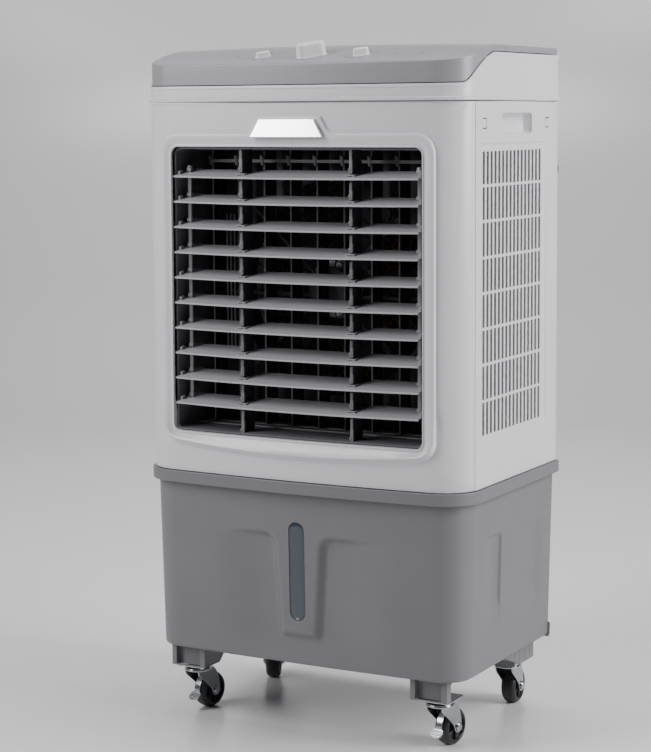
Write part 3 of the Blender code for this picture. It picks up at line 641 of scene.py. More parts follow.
# ---- the housing's plan ----
@dataclass(frozen=True)
class Plan:
    """Plan of the housing: a bowed front, two wide front corners, straight sides and small rear corners.

    Its line is measured by a length s from the middle of the front, positive to the right.
    """

    front: float
    half: float = 0.245
    depth: float = 0.318
    bow: float = 0.0078
    flat_half: float = 0.199
    rear_radius: float = 0.010

    @property
    def lead(self) -> float:
        """Angle at which the bowed front meets its corner."""
        return math.atan(2 * self.bow / self.flat_half)

    @property
    def radius(self) -> float:
        """Radius of the front corners, which join the bow without a break."""
        return (self.half - self.flat_half) / (1 - math.sin(self.lead))

    @property
    def corner_end(self) -> float:
        """Length at which the front corner ends."""
        return self.flat_half + self.radius * (math.pi / 2 - self.lead)

    @property
    def corner_depth(self) -> float:
        """Depth at which the front corner ends."""
        return self.radius * math.cos(self.lead)

    @property
    def side_end(self) -> float:
        """Length at which the straight side ends."""
        return self.corner_end + self.depth - self.rear_radius - self.corner_depth

    @property
    def back_middle(self) -> float:
        """Length at the middle of the back."""
        return self.side_end + self.rear_radius * math.pi / 2 + self.half - self.rear_radius

    def length_at(self, depth: float) -> float:
        """Length along the plan's right side at a depth.

        Args:
            depth: depth behind the front line.

        Returns:
            The length.
        """
        if depth >= self.corner_depth:
            return self.corner_end + depth - self.corner_depth
        angle = math.acos((self.corner_depth - depth) / self.radius)
        return self.flat_half + self.radius * (angle - self.lead)

    def depth_at(self, length: float) -> float:
        """Depth behind the front line at a length."""
        return self.point(length, 0.0)[1] - self.front

    def frame_at(self, length: float) -> tuple[float, float, float]:
        """X, Y and the angle of the outward normal, from -Y towards +X, on the right half.

        Args:
            length: length from the middle of the front.

        Returns:
            X, Y and the angle.
        """
        if length <= self.flat_half:
            y = self.front - self.bow * (1 - (length / self.flat_half) ** 2)
            return length, y, math.atan(2 * self.bow * length / self.flat_half**2)
        if length <= self.corner_end:
            angle = self.lead + (length - self.flat_half) / self.radius
            x = self.half - self.radius + self.radius * math.sin(angle)
            return x, self.front + self.corner_depth - self.radius * math.cos(angle), angle
        if length <= self.side_end:
            return self.half, self.front + self.corner_depth + length - self.corner_end, math.pi / 2
        arc = self.rear_radius * math.pi / 2
        back = self.front + self.depth
        if length <= self.side_end + arc:
            turn = (length - self.side_end) / self.rear_radius
            x = self.half - self.rear_radius * (1 - math.cos(turn))
            return x, back - self.rear_radius * (1 - math.sin(turn)), math.pi / 2 + turn
        return self.back_middle - length, back, math.pi

    def point(self, length: float, offset: float, z: float = 0.0) -> Point:
        """Point at a length along the plan, moved outwards by an offset, at a height.

        Args:
            length: length from the middle of the front.
            offset: distance outwards.
            z: height.

        Returns:
            X, Y and Z.
        """
        turn = 2 * self.back_middle
        wrapped = (length + self.back_middle) % turn - self.back_middle
        side = 1 if wrapped >= 0 else -1
        x, y, angle = self.frame_at(abs(wrapped))
        return (side * (x + offset * math.sin(angle)), y - offset * math.cos(angle), z)

    def ring(self, steps_mm: float = 6.0) -> list[float]:
        """Lengths right round the plan: fine in the corners, wider on the flats.

        Args:
            steps_mm: step on the flats.

        Returns:
            The lengths, the last closing on the first.
        """
        arc_end = self.side_end + self.rear_radius * math.pi / 2
        half = spread(0.0, self.flat_half, round(self.flat_half / (steps_mm * MM)))[1:]
        half += spread(self.flat_half, self.corner_end, 16)[1:]
        half += spread(self.corner_end, self.side_end, round(0.25 / (steps_mm * MM)))[1:]
        half += spread(self.side_end, arc_end, 5)[1:]
        half += spread(arc_end, self.back_middle, 24)[1:]
        return [-length for length in reversed(half[:-1])] + [0.0] + half


# ---- sizes shared by several pieces, read from the solids ----
@dataclass(frozen=True)
class Sizes:
    """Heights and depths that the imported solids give."""

    plan: Plan
    low_seam: float
    top_seam: float
    front_seam: float = 0.0385
    rear_seam: float = 0.306

    @classmethod
    def read(cls) -> "Sizes":
        """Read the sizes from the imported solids."""
        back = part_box("rear_panel")[1].y
        low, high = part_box("front_panel")
        return cls(Plan(back - Plan.depth), low.z, high.z)


INSIDE = Vector((0.0, 0.0, 0.5))


def panel_loop(
    half: float, bottom: float, top: float, radius: float, across: int = 40, up: int = 22, corner: int = 6
) -> list[Flat]:
    """Loop of lengths and heights round a rectangle with round corners.

    Args:
        half: half of its width.
        bottom: its lowest height.
        top: its highest height.
        radius: of its corners.
        across: steps along its top and along its bottom.
        up: steps along each upright side.
        corner: steps in each corner.

    Returns:
        The points, counter-clockwise from the upper right corner.
    """
    arcs = rounded_rectangle((-half, bottom), (half, top), radius, corner)
    loop: list[Flat] = []
    for index, steps in enumerate((across, up, across, up)):
        arc = arcs[index * (corner + 1) : (index + 1) * (corner + 1)]
        start, end = arc[-1], arcs[((index + 1) * (corner + 1)) % len(arcs)]
        loop += arc
        for share in spread(0.0, 1.0, steps)[1:-1]:
            loop.append((mix(start[0], end[0], share), mix(start[1], end[1], share)))
    return loop


def carve(thing: bpy.types.Object, cutter: Surface) -> bpy.types.Object:
    """Cut a piece with another closed surface, which isn't kept.

    Args:
        thing: the piece.
        cutter: closed surface that is cut away.

    Returns:
        The same piece.
    """
    tool = cutter.build(thing.name + "_tool")
    cut = thing.modifiers.new("cut", "BOOLEAN")
    cut.operation = "DIFFERENCE"
    cut.solver = "EXACT"
    cut.object = tool
    bpy.context.view_layer.update()
    graph = bpy.context.evaluated_depsgraph_get()
    mesh = bpy.data.meshes.new_from_object(thing.evaluated_get(graph))
    thing.modifiers.clear()
    thing.data = mesh
    bpy.data.objects.remove(tool, do_unlink=True)
    return thing


def thicken(thing: bpy.types.Object, wall: float) -> bpy.types.Object:
    """Give an open shell its wall at once, ready to be cut.

    Args:
        thing: the open shell.
        wall: wall thickness, inwards.

    Returns:
        The same piece, closed.
    """
    solid = thing.modifiers.new("wall", "SOLIDIFY")
    solid.thickness = wall
    solid.offset = -1.0
    bpy.context.view_layer.update()
    graph = bpy.context.evaluated_depsgraph_get()
    mesh = bpy.data.meshes.new_from_object(thing.evaluated_get(graph))
    thing.modifiers.clear()
    thing.data = mesh
    return thing


ALONG_Y = Matrix(((1, 0, 0, 0), (0, 0, -1, 0), (0, 1, 0, 0), (0, 0, 0, 1)))  # outline (x, z), pushed towards -Y
ALONG_X = Matrix(((0, 0, 1, 0), (1, 0, 0, 0), (0, 1, 0, 0), (0, 0, 0, 1)))  # outline (y, z), pushed towards +X


# ---- housing ----
@dataclass
class FrontPanel:
    """The bowed white front, its raised surround with a drooping lower lip, and the blank badge plate."""

    sizes: Sizes
    gap: float = 0.0004
    wall: float = 0.0025
    lip_rise: float = 0.006
    lip_reach: float = 0.150
    badge_rise: float = 0.0222
    lip_top: float = 0.450
    badge_middle: float = -0.002

    def rows(self) -> list[tuple[float, float, float, float, float, float]]:
        """Half width, bottom, top, radius, offset and share of the lip and badge shape for each loop.

        Returns:
            One row for each loop.
        """
        return [
            (0.1885, 0.4070, 0.7940, 0.0100, -0.0040, 0.0),
            (0.1885, 0.4070, 0.7940, 0.0100, 0.0024, 0.0),
            (0.1889, 0.4066, 0.7944, 0.0104, 0.0034, 0.0),
            (0.1899, 0.4056, 0.7954, 0.0114, 0.0036, 0.0),
            (0.1909, 0.4046, 0.7964, 0.0124, 0.0026, 0.0),
            (0.1925, 0.4026, 0.7978, 0.0138, 0.0022, 0.0),
            (0.1975, 0.3956, 0.8036, 0.0182, 0.0042, 0.4),
            (0.1990, 0.3926, 0.8056, 0.0196, 0.0049, 0.7),
            (0.2030, 0.3876, 0.8096, 0.0234, 0.0050, 1.0),
            (0.2046, 0.3866, 0.8112, 0.0250, 0.0045, 1.0),
            (0.2055, 0.3856, 0.8121, 0.0258, 0.0032, 1.0),
            (0.2062, 0.3796, 0.8128, 0.0265, -0.0022, 1.0),
            (0.2070, 0.3788, 0.8134, 0.0270, -0.0026, 1.0),
        ]

    def shaped(self, length: float, z: float, share: float) -> float:
        """Height of a loop's point with the lip and the badge shape added.

        Args:
            length: length along the plan.
            z: height before shaping.
            share: how much of the shape the loop takes.

        Returns:
            The shaped height.
        """
        if z < 0.45:
            return z + share * self.lip_rise * min(1.6, (length / self.lip_reach) ** 2)
        if z > 0.75:
            away = abs(length - self.badge_middle)
            return z + share * self.badge_rise * (1 - ease(0.045, 0.061, away))
        return z

    def proud(self, z: float, share: float) -> float:
        """How much further the surround stands out along its lower lip."""
        return share * 0.0030 * (1 - ease(0.392, self.lip_top, z))

    def build(self) -> None:
        """Build the panel and the badge."""
        plan = self.sizes.plan
        low, high = self.sizes.low_seam + SEAM_LOW, self.sizes.top_seam - SEAM_TOP
        edge = plan.length_at(self.sizes.front_seam) - 0.0003
        rows = self.rows()
        last = rows[-1]
        target = (edge, low, high, 0.0005, 0.0, 0.0)
        for share in (0.05, 0.12, 0.2, 0.3, 0.42, 0.54, 0.66, 0.78, 0.89, 1.0):
            rows.append(tuple(mix(start, end, share) for start, end in zip(last, target)))
        rings = []
        for half, bottom, top, radius, offset, share in rows:
            loop = panel_loop(half, bottom, top, radius)
            ring = []
            for s, z in loop:
                lift = self.proud(z, share) if share else 0.0
                least = min(offset, 0.0) if z < self.lip_top else 0.0
                ring.append(plan.point(s, max(offset + lift, least), self.shaped(s, z, share)))
            rings.append(ring)
        panel = Surface().loft(rings).build("front_shell", INSIDE)
        seat(settle(panel, Edges(wall=self.wall, sharp=38)), WHITE_ABS, stands_for=["front_panel"])
        self.badge()

    def badge(self) -> None:
        """The blank trapezoid plate above the outlet."""
        plan = self.sizes.plan
        rings = []
        for inset, offset in ((0.0, 0.0045), (0.0, 0.0082), (0.0004, 0.0088), (0.0012, 0.0090)):
            low, high = 0.8065 + inset, 0.8305 - inset
            foot, head = 0.0545 - inset * 1.2, 0.0415 - inset * 1.2
            corners = [(foot, low), (head, high), (-head, high), (-foot, low)]
            ring = []
            for (x0, z0), (x1, z1) in zip(corners, corners[1:] + corners[:1]):
                for share in spread(0.0, 1.0, 10)[:-1]:
                    x = mix(x0, x1, share) + self.badge_middle
                    z = mix(z0, z1, share)
                    ring.append(plan.point(x, offset + 0.10 * (0.8305 - z), z))
            rings.append(ring)
        plate = Surface().loft(rings, caps=True).build("badge_plate")
        seat(settle(plate, Edges(sharp=30)), BADGE_ABS)


@dataclass
class VentedPanel:
    """Slots and recess that the side and rear panels share."""

    bars: tuple[float, ...] = (0.4645, 0.5120, 0.5585, 0.6050, 0.6510, 0.6980, 0.7440)
    bar: float = 0.0036
    low: float = 0.4195
    high: float = 0.7880
    recess: float = 0.0026
    wall: float = 0.0025

    def openings(self) -> list[Flat]:
        """Lowest and highest height of each row of slots.

        Returns:
            Lowest and highest height of each row.
        """
        edges = [self.low]
        for middle in self.bars:
            edges += [middle - self.bar / 2, middle + self.bar / 2]
        edges.append(self.high)
        return list(zip(edges[::2], edges[1::2]))

    def sheet(
        self,
        plan: Plan,
        limits: Flat,
        heights: Flat,
        slots: Sequence[Flat],
        field: Flat,
        pitch: float = 0.012,
    ) -> Surface:
        """Grid with its slots left open.

        Args:
            plan: the housing's plan.
            limits: first and last length.
            heights: lowest and highest height.
            slots: first and last length of each column of slots.
            field: first and last length of the sunken field.
            pitch: widest step of the grid.

        Returns:
            The open surface.
        """
        rows = self.openings()
        soft = 0.0030
        columns = grid_lines(
            [*limits, *field, field[0] + soft, field[1] - soft, *(edge for slot in slots for edge in slot)], pitch
        )
        bottom, top = self.low - 0.0150, self.high + 0.0110
        levels = grid_lines(
            [*heights, bottom, bottom + soft, top - soft, top, *(edge for row in rows for edge in row)], 0.02
        )

        def sunk(length: float, z: float) -> float:
            """Depth of the field at a point."""
            inside = ease(field[0], field[0] + soft, length) * (1 - ease(field[1] - soft, field[1], length))
            return self.recess * inside * ease(bottom, bottom + soft, z) * (1 - ease(top - soft, top, z))

        def open_at(row: int, column: int) -> bool:
            """Whether a quad of the grid lies in a slot."""
            s = (columns[column] + columns[column + 1]) / 2
            z = (levels[row] + levels[row + 1]) / 2
            return any(a < s < b for a, b in slots) and any(a < z < b for a, b in rows)

        rings = [[plan.point(s, -sunk(s, z), z) for s in columns] for z in levels]
        return Surface().loft(rings, closed=False, skip=open_at)


@dataclass
class SidePanels:
    """Both white sides: slotted air inlets in a sunken field, grip pockets and clip marks."""

    sizes: Sizes
    vents: VentedPanel
    gap: float = 0.0004
    slot_start: float = 0.0675
    slot_pitch: float = 0.01225
    slot_width: float = 0.0068
    slot_count: int = 16
    field: Flat = (0.0575, 0.2725)
    grip: tuple[float, float, float, float] = (0.1175, 0.2185, 0.8095, 0.8375)

    def build(self) -> None:
        """Build both sides."""
        for word, side in (("left", -1), ("right", 1)):
            self.panel(word, side)
            self.cup(word, side)

    def panel(self, word: str, side: int) -> None:
        """The panel itself, with the pocket's mouth and the clip marks cut through.

        Args:
            word: left or right.
            side: -1 or 1.
        """
        plan = self.sizes.plan
        to_length = plan.length_at
        limits = (to_length(self.sizes.front_seam + 2 * self.gap), to_length(self.sizes.rear_seam - self.gap))
        slots = []
        for column in range(self.slot_count):
            middle = to_length(self.slot_start + self.slot_pitch * column)
            slots.append((middle - self.slot_width / 2, middle + self.slot_width / 2))
        field = (to_length(self.field[0]), to_length(self.field[1]))
        heights = (self.sizes.low_seam + SEAM_LOW, self.sizes.top_seam - SEAM_TOP)
        sheet = self.vents.sheet(plan, limits, heights, slots, field)
        sheet.vertices = [(side * x, y, z) for x, y, z in sheet.vertices]
        panel = thicken(sheet.build("side_shell_" + word, INSIDE), self.vents.wall)
        carve(panel, self.cuts(side))
        panel = settle(panel, Edges(sharp=30))
        seat(panel, WHITE_ABS, stands_for=["side_panel_" + word])

    def cuts(self, side: int) -> Surface:
        """Cutters for the pocket's mouth and for the two bracket-shaped clip marks.

        Args:
            side: -1 or 1.

        Returns:
            The cutters.
        """
        front = self.sizes.plan.front
        near, far, low, high = self.grip
        mouth = rounded_rectangle((front + near, low), (front + far, high), 0.006)
        cuts = Surface().extrude(mouth, side * 0.23, side * 0.26, ALONG_X)
        for back, tip in ((0.0710, 0.0580), (0.2650, 0.2780)):
            line = 0.0012 if tip > back else -0.0012
            a, b, c = front + back, front + back + line, front + tip
            bracket = [(a, 0.8170), (c, 0.8170), (c, 0.8184), (b, 0.8184), (b, 0.8296), (c, 0.8296)]
            bracket += [(c, 0.8310), (a, 0.8310)]
            cuts.extrude(bracket, side * 0.2400, side * 0.26, ALONG_X)
        return cuts

    def cup(self, word: str, side: int) -> None:
        """The pocket behind the mouth, with a rounded floor.

        Args:
            word: left or right.
            side: -1 or 1.
        """
        front = self.sizes.plan.front
        near, far, low, high = self.grip
        rings = []
        for inset, deep in ((-0.0030, 0.0026), (-0.0002, 0.0026), (0.0, 0.0032), (0.0016, 0.0120), (0.0050, 0.0148)):
            low_corner, high_corner = (front + near + inset, low + inset), (front + far - inset, high - inset)
            outline = rounded_rectangle(low_corner, high_corner, 0.0065)
            x = side * (self.sizes.plan.half - deep)
            rings.append([(x, y, z) for y, z in outline])
        cup = Surface().loft(rings)
        last = len(cup.vertices) - len(rings[-1])
        cup.faces.append(tuple(range(last, len(cup.vertices))))
        seat(settle(cup.build("grip_cup_" + word), Edges(sharp=35)), WHITE_ABS)


@dataclass
class RearPanel:
    """The white back with its slotted inlet."""

    sizes: Sizes
    vents: VentedPanel
    columns: int = 24
    pitch: float = 0.0155
    width: float = 0.0085

    def build(self) -> None:
        """Build the panel from one rear seam round to the other."""
        plan = self.sizes.plan
        start = plan.length_at(self.sizes.rear_seam)
        end = 2 * plan.back_middle - start
        slots = []
        for column in range(self.columns):
            middle = plan.back_middle + self.pitch * (column - (self.columns - 1) / 2)
            slots.append((middle - self.width / 2, middle + self.width / 2))
        field = (slots[0][0] - 0.010, slots[-1][1] + 0.010)
        limits = (start, end)
        sheet = self.vents.sheet(plan, limits, (self.sizes.low_seam, self.sizes.top_seam), slots, field, 0.004)
        panel = sheet.build("rear_shell", INSIDE)
        edges = Edges(wall=self.vents.wall, sharp=35)
        seat(settle(panel, edges), WHITE_ABS, stands_for=["rear_panel"])


def line_height(line: Sequence[Vector], depth: float) -> float:
    """Height of a line of depths and heights at a depth.

    Args:
        line: depths in x and heights in y, in order of depth.
        depth: depth behind the front line.

    Returns:
        The height.
    """
    for start, end in zip(line, line[1:]):
        if depth <= end.x:
            return mix(start.y, end.y, max(0.0, depth - start.x) / (end.x - start.x))
    return line[-1].y


@dataclass(frozen=True)
class TopShape:
    """Heights of the shoulder and of the lid, by depth."""

    crown: float = 0.004

    def shoulder_at(self, depth: float) -> float:
        """Height where the white ring ends and the lid begins."""
        return line_height(SHOULDER_LINE, depth)

    def lid_at(self, x: float, depth: float) -> float:
        """Height of the lid's top."""
        z = line_height(LID_LINE, depth)
        return z + self.crown * (1 - (x / 0.2435) ** 2) * ease(0.055, 0.130, depth)


SHOULDER_LINE = smooth_curve(
    [(-0.03, 0.8745), (0.010, 0.8757), (0.0205, 0.8765), (0.0255, 0.8788), (0.0310, 0.8842), (0.0440, 0.8948)]
    + [(0.0550, 0.9010), (0.0675, 0.9070), (0.0800, 0.9120), (0.0900, 0.9150), (0.0980, 0.9162), (0.1200, 0.9162)]
    + [(0.40, 0.9162)],
    5,
)
LID_LINE = smooth_curve(
    [(-0.03, 0.8985), (-0.008, 0.9025), (0.030, 0.9092), (0.050, 0.9138), (0.070, 0.9190), (0.088, 0.9232)]
    + [(0.105, 0.9252), (0.125, 0.9255), (0.40, 0.9255)],
    8,
)


@dataclass
class TopHousing:
    """The white ring under the lid, with its bead, rising into two shoulders."""

    sizes: Sizes
    shape: TopShape
    gap: float = 0.0004
    wall: float = 0.0025

    def build(self) -> None:
        """Build the ring."""
        plan = self.sizes.plan
        lengths = plan.ring()
        low = self.sizes.top_seam + 3 * self.gap
        rows = [(0.0, 0.0024), (0.0005, 0.0034), (0.0034, 0.0035), (0.0041, 0.0028), (0.0044, 0.0006), (0.0050, 0.0)]
        rings = []
        for rise, offset in rows:
            rings.append([plan.point(s, offset, low + rise) for s in lengths[:-1]])
        for share, drop, offset in (
            (0.3, 0.0, 0.0), (0.6, 0.0, 0.0), (1.0, 0.0048, 0.0), (1.0, 0.0042, 0.0008), (1.0, 0.0018, 0.0010),
            (1.0, 0.0005, 0.0004), (1.0, 0.0, -0.0010),
        ):
            ring = []
            for s in lengths[:-1]:
                top = self.shape.shoulder_at(plan.depth_at(s)) - self.gap
                ring.append(plan.point(s, offset, mix(low + 0.0060, top, share) - drop))
            rings.append(ring)
        ring = Surface().loft(rings).build("top_ring", INSIDE)
        seat(settle(ring, Edges(wall=self.wall, sharp=35)), WHITE_ABS, stands_for=["top_housing"])


@dataclass
class ControlDeck:
    """The grey lid: an upright fascia, a sloped dial panel and a crowned top, with printed dial marks."""

    sizes: Sizes
    shape: TopShape
    inset: float = -0.0015
    dials: tuple[float, ...] = (-0.0745, 0.0, 0.0745)
    dial_depth: float = 0.050

    def build(self) -> None:
        """Build the lid and its marks."""
        plan = self.sizes.plan
        lengths = plan.ring()[:-1]
        shape = self.shape
        rings = []
        for share, drop, inward in (
            (0.0, 0.0, 0.0), (0.04, 0.0, 0.0), (0.5, 0.0, 0.0), (1.0, 0.0018, 0.0), (1.0, 0.0007, 0.0003),
            (1.0, 0.0002, 0.0010), (1.0, 0.0, 0.0020),
        ):
            ring = []
            for s in lengths:
                x, y, _ = plan.point(s, self.inset - inward)
                depth = y - plan.front
                foot = shape.shoulder_at(plan.depth_at(s)) + 0.0008
                ring.append((x, y, mix(foot, shape.lid_at(x, depth), share) - drop))
            rings.append(ring)
        centre_y = plan.front + 0.150
        edge = rings[-1]
        for share in (0.985, 0.96, *spread(0.93, 0.05, 30)):
            ring = []
            for x, y, _ in edge:
                px, py = x * share, centre_y + (y - centre_y) * share
                ring.append((px, py, shape.lid_at(px, py - plan.front)))
            rings.append(ring)
        lid = Surface().loft(rings)
        last = len(lid.vertices) - len(edge)
        lid.faces.append(tuple(range(last, len(lid.vertices))))
        made = lid.build("lid", INSIDE)
        seat(settle(made, Edges(wall=0.0025, sharp=35)), DECK_ABS, stands_for=["control_deck"])
        self.marks()

    def marks(self) -> None:
        """Printed arcs and ticks round each dial, and small function signs further back."""
        marks = Surface()
        for x in self.dials:
            reach = 0.0235 if x == 0.0 else 0.0170
            self.arc(marks, x, reach, -40, 40)
            self.arc(marks, x, reach, 140, 220)
            for angle in (-60, 60, 120, 240, 180, 0):
                self.arc(marks, x, reach + 0.0042, angle - 2, angle + 2, 0.0022)
        for x in (-0.118, 0.118, 0.158):
            self.arc(marks, x, 0.0065, 20, 150)
        seat(settle(marks.build("dial_marks"), Edges()), MARK_INK)

    def arc(self, marks: Surface, x: float, radius: float, start: float, end: float, width: float = 0.0009) -> None:
        """Lay a printed arc on the lid round a dial.

        Args:
            marks: surface that the arc is added to.
            x: middle of the dial.
            radius: radius of the arc.
            start: start angle in degrees.
            end: end angle in degrees.
            width: width of the line.
        """
        rings = []
        for angle in spread(math.radians(start), math.radians(end), 10):
            ring = []
            for reach in (radius - width / 2, radius + width / 2):
                px = x + reach * math.sin(angle)
                depth = self.dial_depth - reach * math.cos(angle) * 0.97
                z = self.shape.lid_at(px, depth) + 0.00015
                ring.append((px, self.sizes.plan.front + depth, z))
            rings.append(ring)
        marks.loft(rings, closed=False)


@dataclass
class Knob:
    """A bar-shaped dial knob with grip flutes and a ring let into its top."""

    name: str
    x: float
    length: float
    width: float
    height: float
    turn: float

    def build(self, sizes: Sizes, shape: TopShape) -> None:
        """Build the knob on its tilted axis.

        Args:
            sizes: shared sizes of the housing.
            shape: shape of the lid that the knob stands on.
        """
        depth = 0.050
        foot = Vector((self.x, sizes.plan.front + depth, 0.9138))
        slope = math.atan2(shape.lid_at(0, 0.065) - shape.lid_at(0, 0.035), 0.030)
        place = Matrix.Translation(foot) @ Matrix.Rotation(slope, 4, "X")
        place = place @ Matrix.Rotation(math.radians(self.turn), 4, "Z")
        h = self.height
        rings = []
        profile = [
            (-0.0012, 0.0002, 0.0), (0.0, 0.0004, 0.0), (0.0004, 0.0016, 0.3), (0.0006, 0.25 * h, 1.0),
            (0.0010, 0.80 * h, 1.0), (0.0014, 0.93 * h, 0.6), (0.0022, 0.985 * h, 0.1), (0.0030, h, 0.0),
            (0.0042, h, 0.0), (0.0046, h - 0.0006, 0.0), (0.0052, h - 0.0006, 0.0), (0.0056, h - 0.0001, 0.0),
        ]
        for inset, z, flute in profile:
            rings.append([place @ Vector((u, v, z)) for u, v in self.outline(inset, flute)])
        knob = Surface().loft(rings, caps=True).build(self.name + "_cap")
        seat(settle(knob, Edges(sharp=50)), KNOB_ABS, self.name, [self.name])

    def outline(self, inset: float, flute: float) -> list[Flat]:
        """Bar with round ends, with shallow flutes along its sides.

        Args:
            inset: distance in from the foot's outline.
            flute: how deep the flutes are, from 0 to 1.

        Returns:
            The points of the outline.
        """
        half = self.length / 2 - inset
        wide = max(0.0012, self.width / 2 - inset)
        ring = rounded_rectangle((-half, -wide), (half, wide), wide * 0.96, 14)
        points = []
        for index in range(len(ring)):
            start, end = Vector(ring[index]), Vector(ring[(index + 1) % len(ring)])
            steps = 26 if index in (14, 44) else 1
            for share in spread(0.0, 1.0, steps)[:-1]:
                points.append(start.lerp(end, share))
        count = len(points)
        shaped = []
        for index, point in enumerate(points):
            wave = 0.5 + 0.5 * math.cos(2 * math.pi * index * 22 / count)
            shaped.append(tuple(point * (1 - 0.035 * flute * wave)))
        return shaped


# ---- water tank ----
FEET = {
    "front_left": (-0.189, 0.050),
    "front_right": (0.189, 0.050),
    "rear_left": (-0.190, 0.268),
    "rear_right": (0.190, 0.268),
}


@dataclass(frozen=True)
class Relief:
    """A column left standing between two recesses that fade out sideways and downwards.

    Lengths run along the plan. The recess is deepest beside the column.
    """

    middle: float
    half_low: float
    half_high: float
    reach_before: float
    reach_after: float
    deep: float = 0.0080
    top: float = 0.2800
    column_foot: float = 0.1330
    floor: float = 0.0985
    wall: float = 0.0115
    turn: float = 0.0190

    def depth(self, length: float, z: float) -> float:
        """How far the wall is sunk at a point.

        Args:
            length: length along the plan.
            z: height.

        Returns:
            The depth.
        """
        away = length - self.middle
        reach = self.reach_after if away > 0 else self.reach_before
        half = mix(self.half_low, self.half_high, (z - self.column_foot) / (self.top - self.column_foot))
        beside = abs(away) - half
        if z < self.column_foot + 0.012 and beside < self.wall:
            beside = max(beside, self.column_foot + 0.012 - z - 0.002)
        under = self.top - z
        turn = self.turn
        if beside < turn and under < turn:
            inside = turn - math.hypot(turn - beside, turn - under)
        else:
            inside = min(beside, under)
        if inside <= 0 or abs(away) > reach:
            return 0.0
        fade = 1 - ease(0.15, 1.0, (abs(away) - half) / (reach - half))
        low = min(1.0, max(0.0, (z - self.floor - 0.004) / 0.040))
        return self.deep * ease(0.0, self.wall, inside) * fade * low


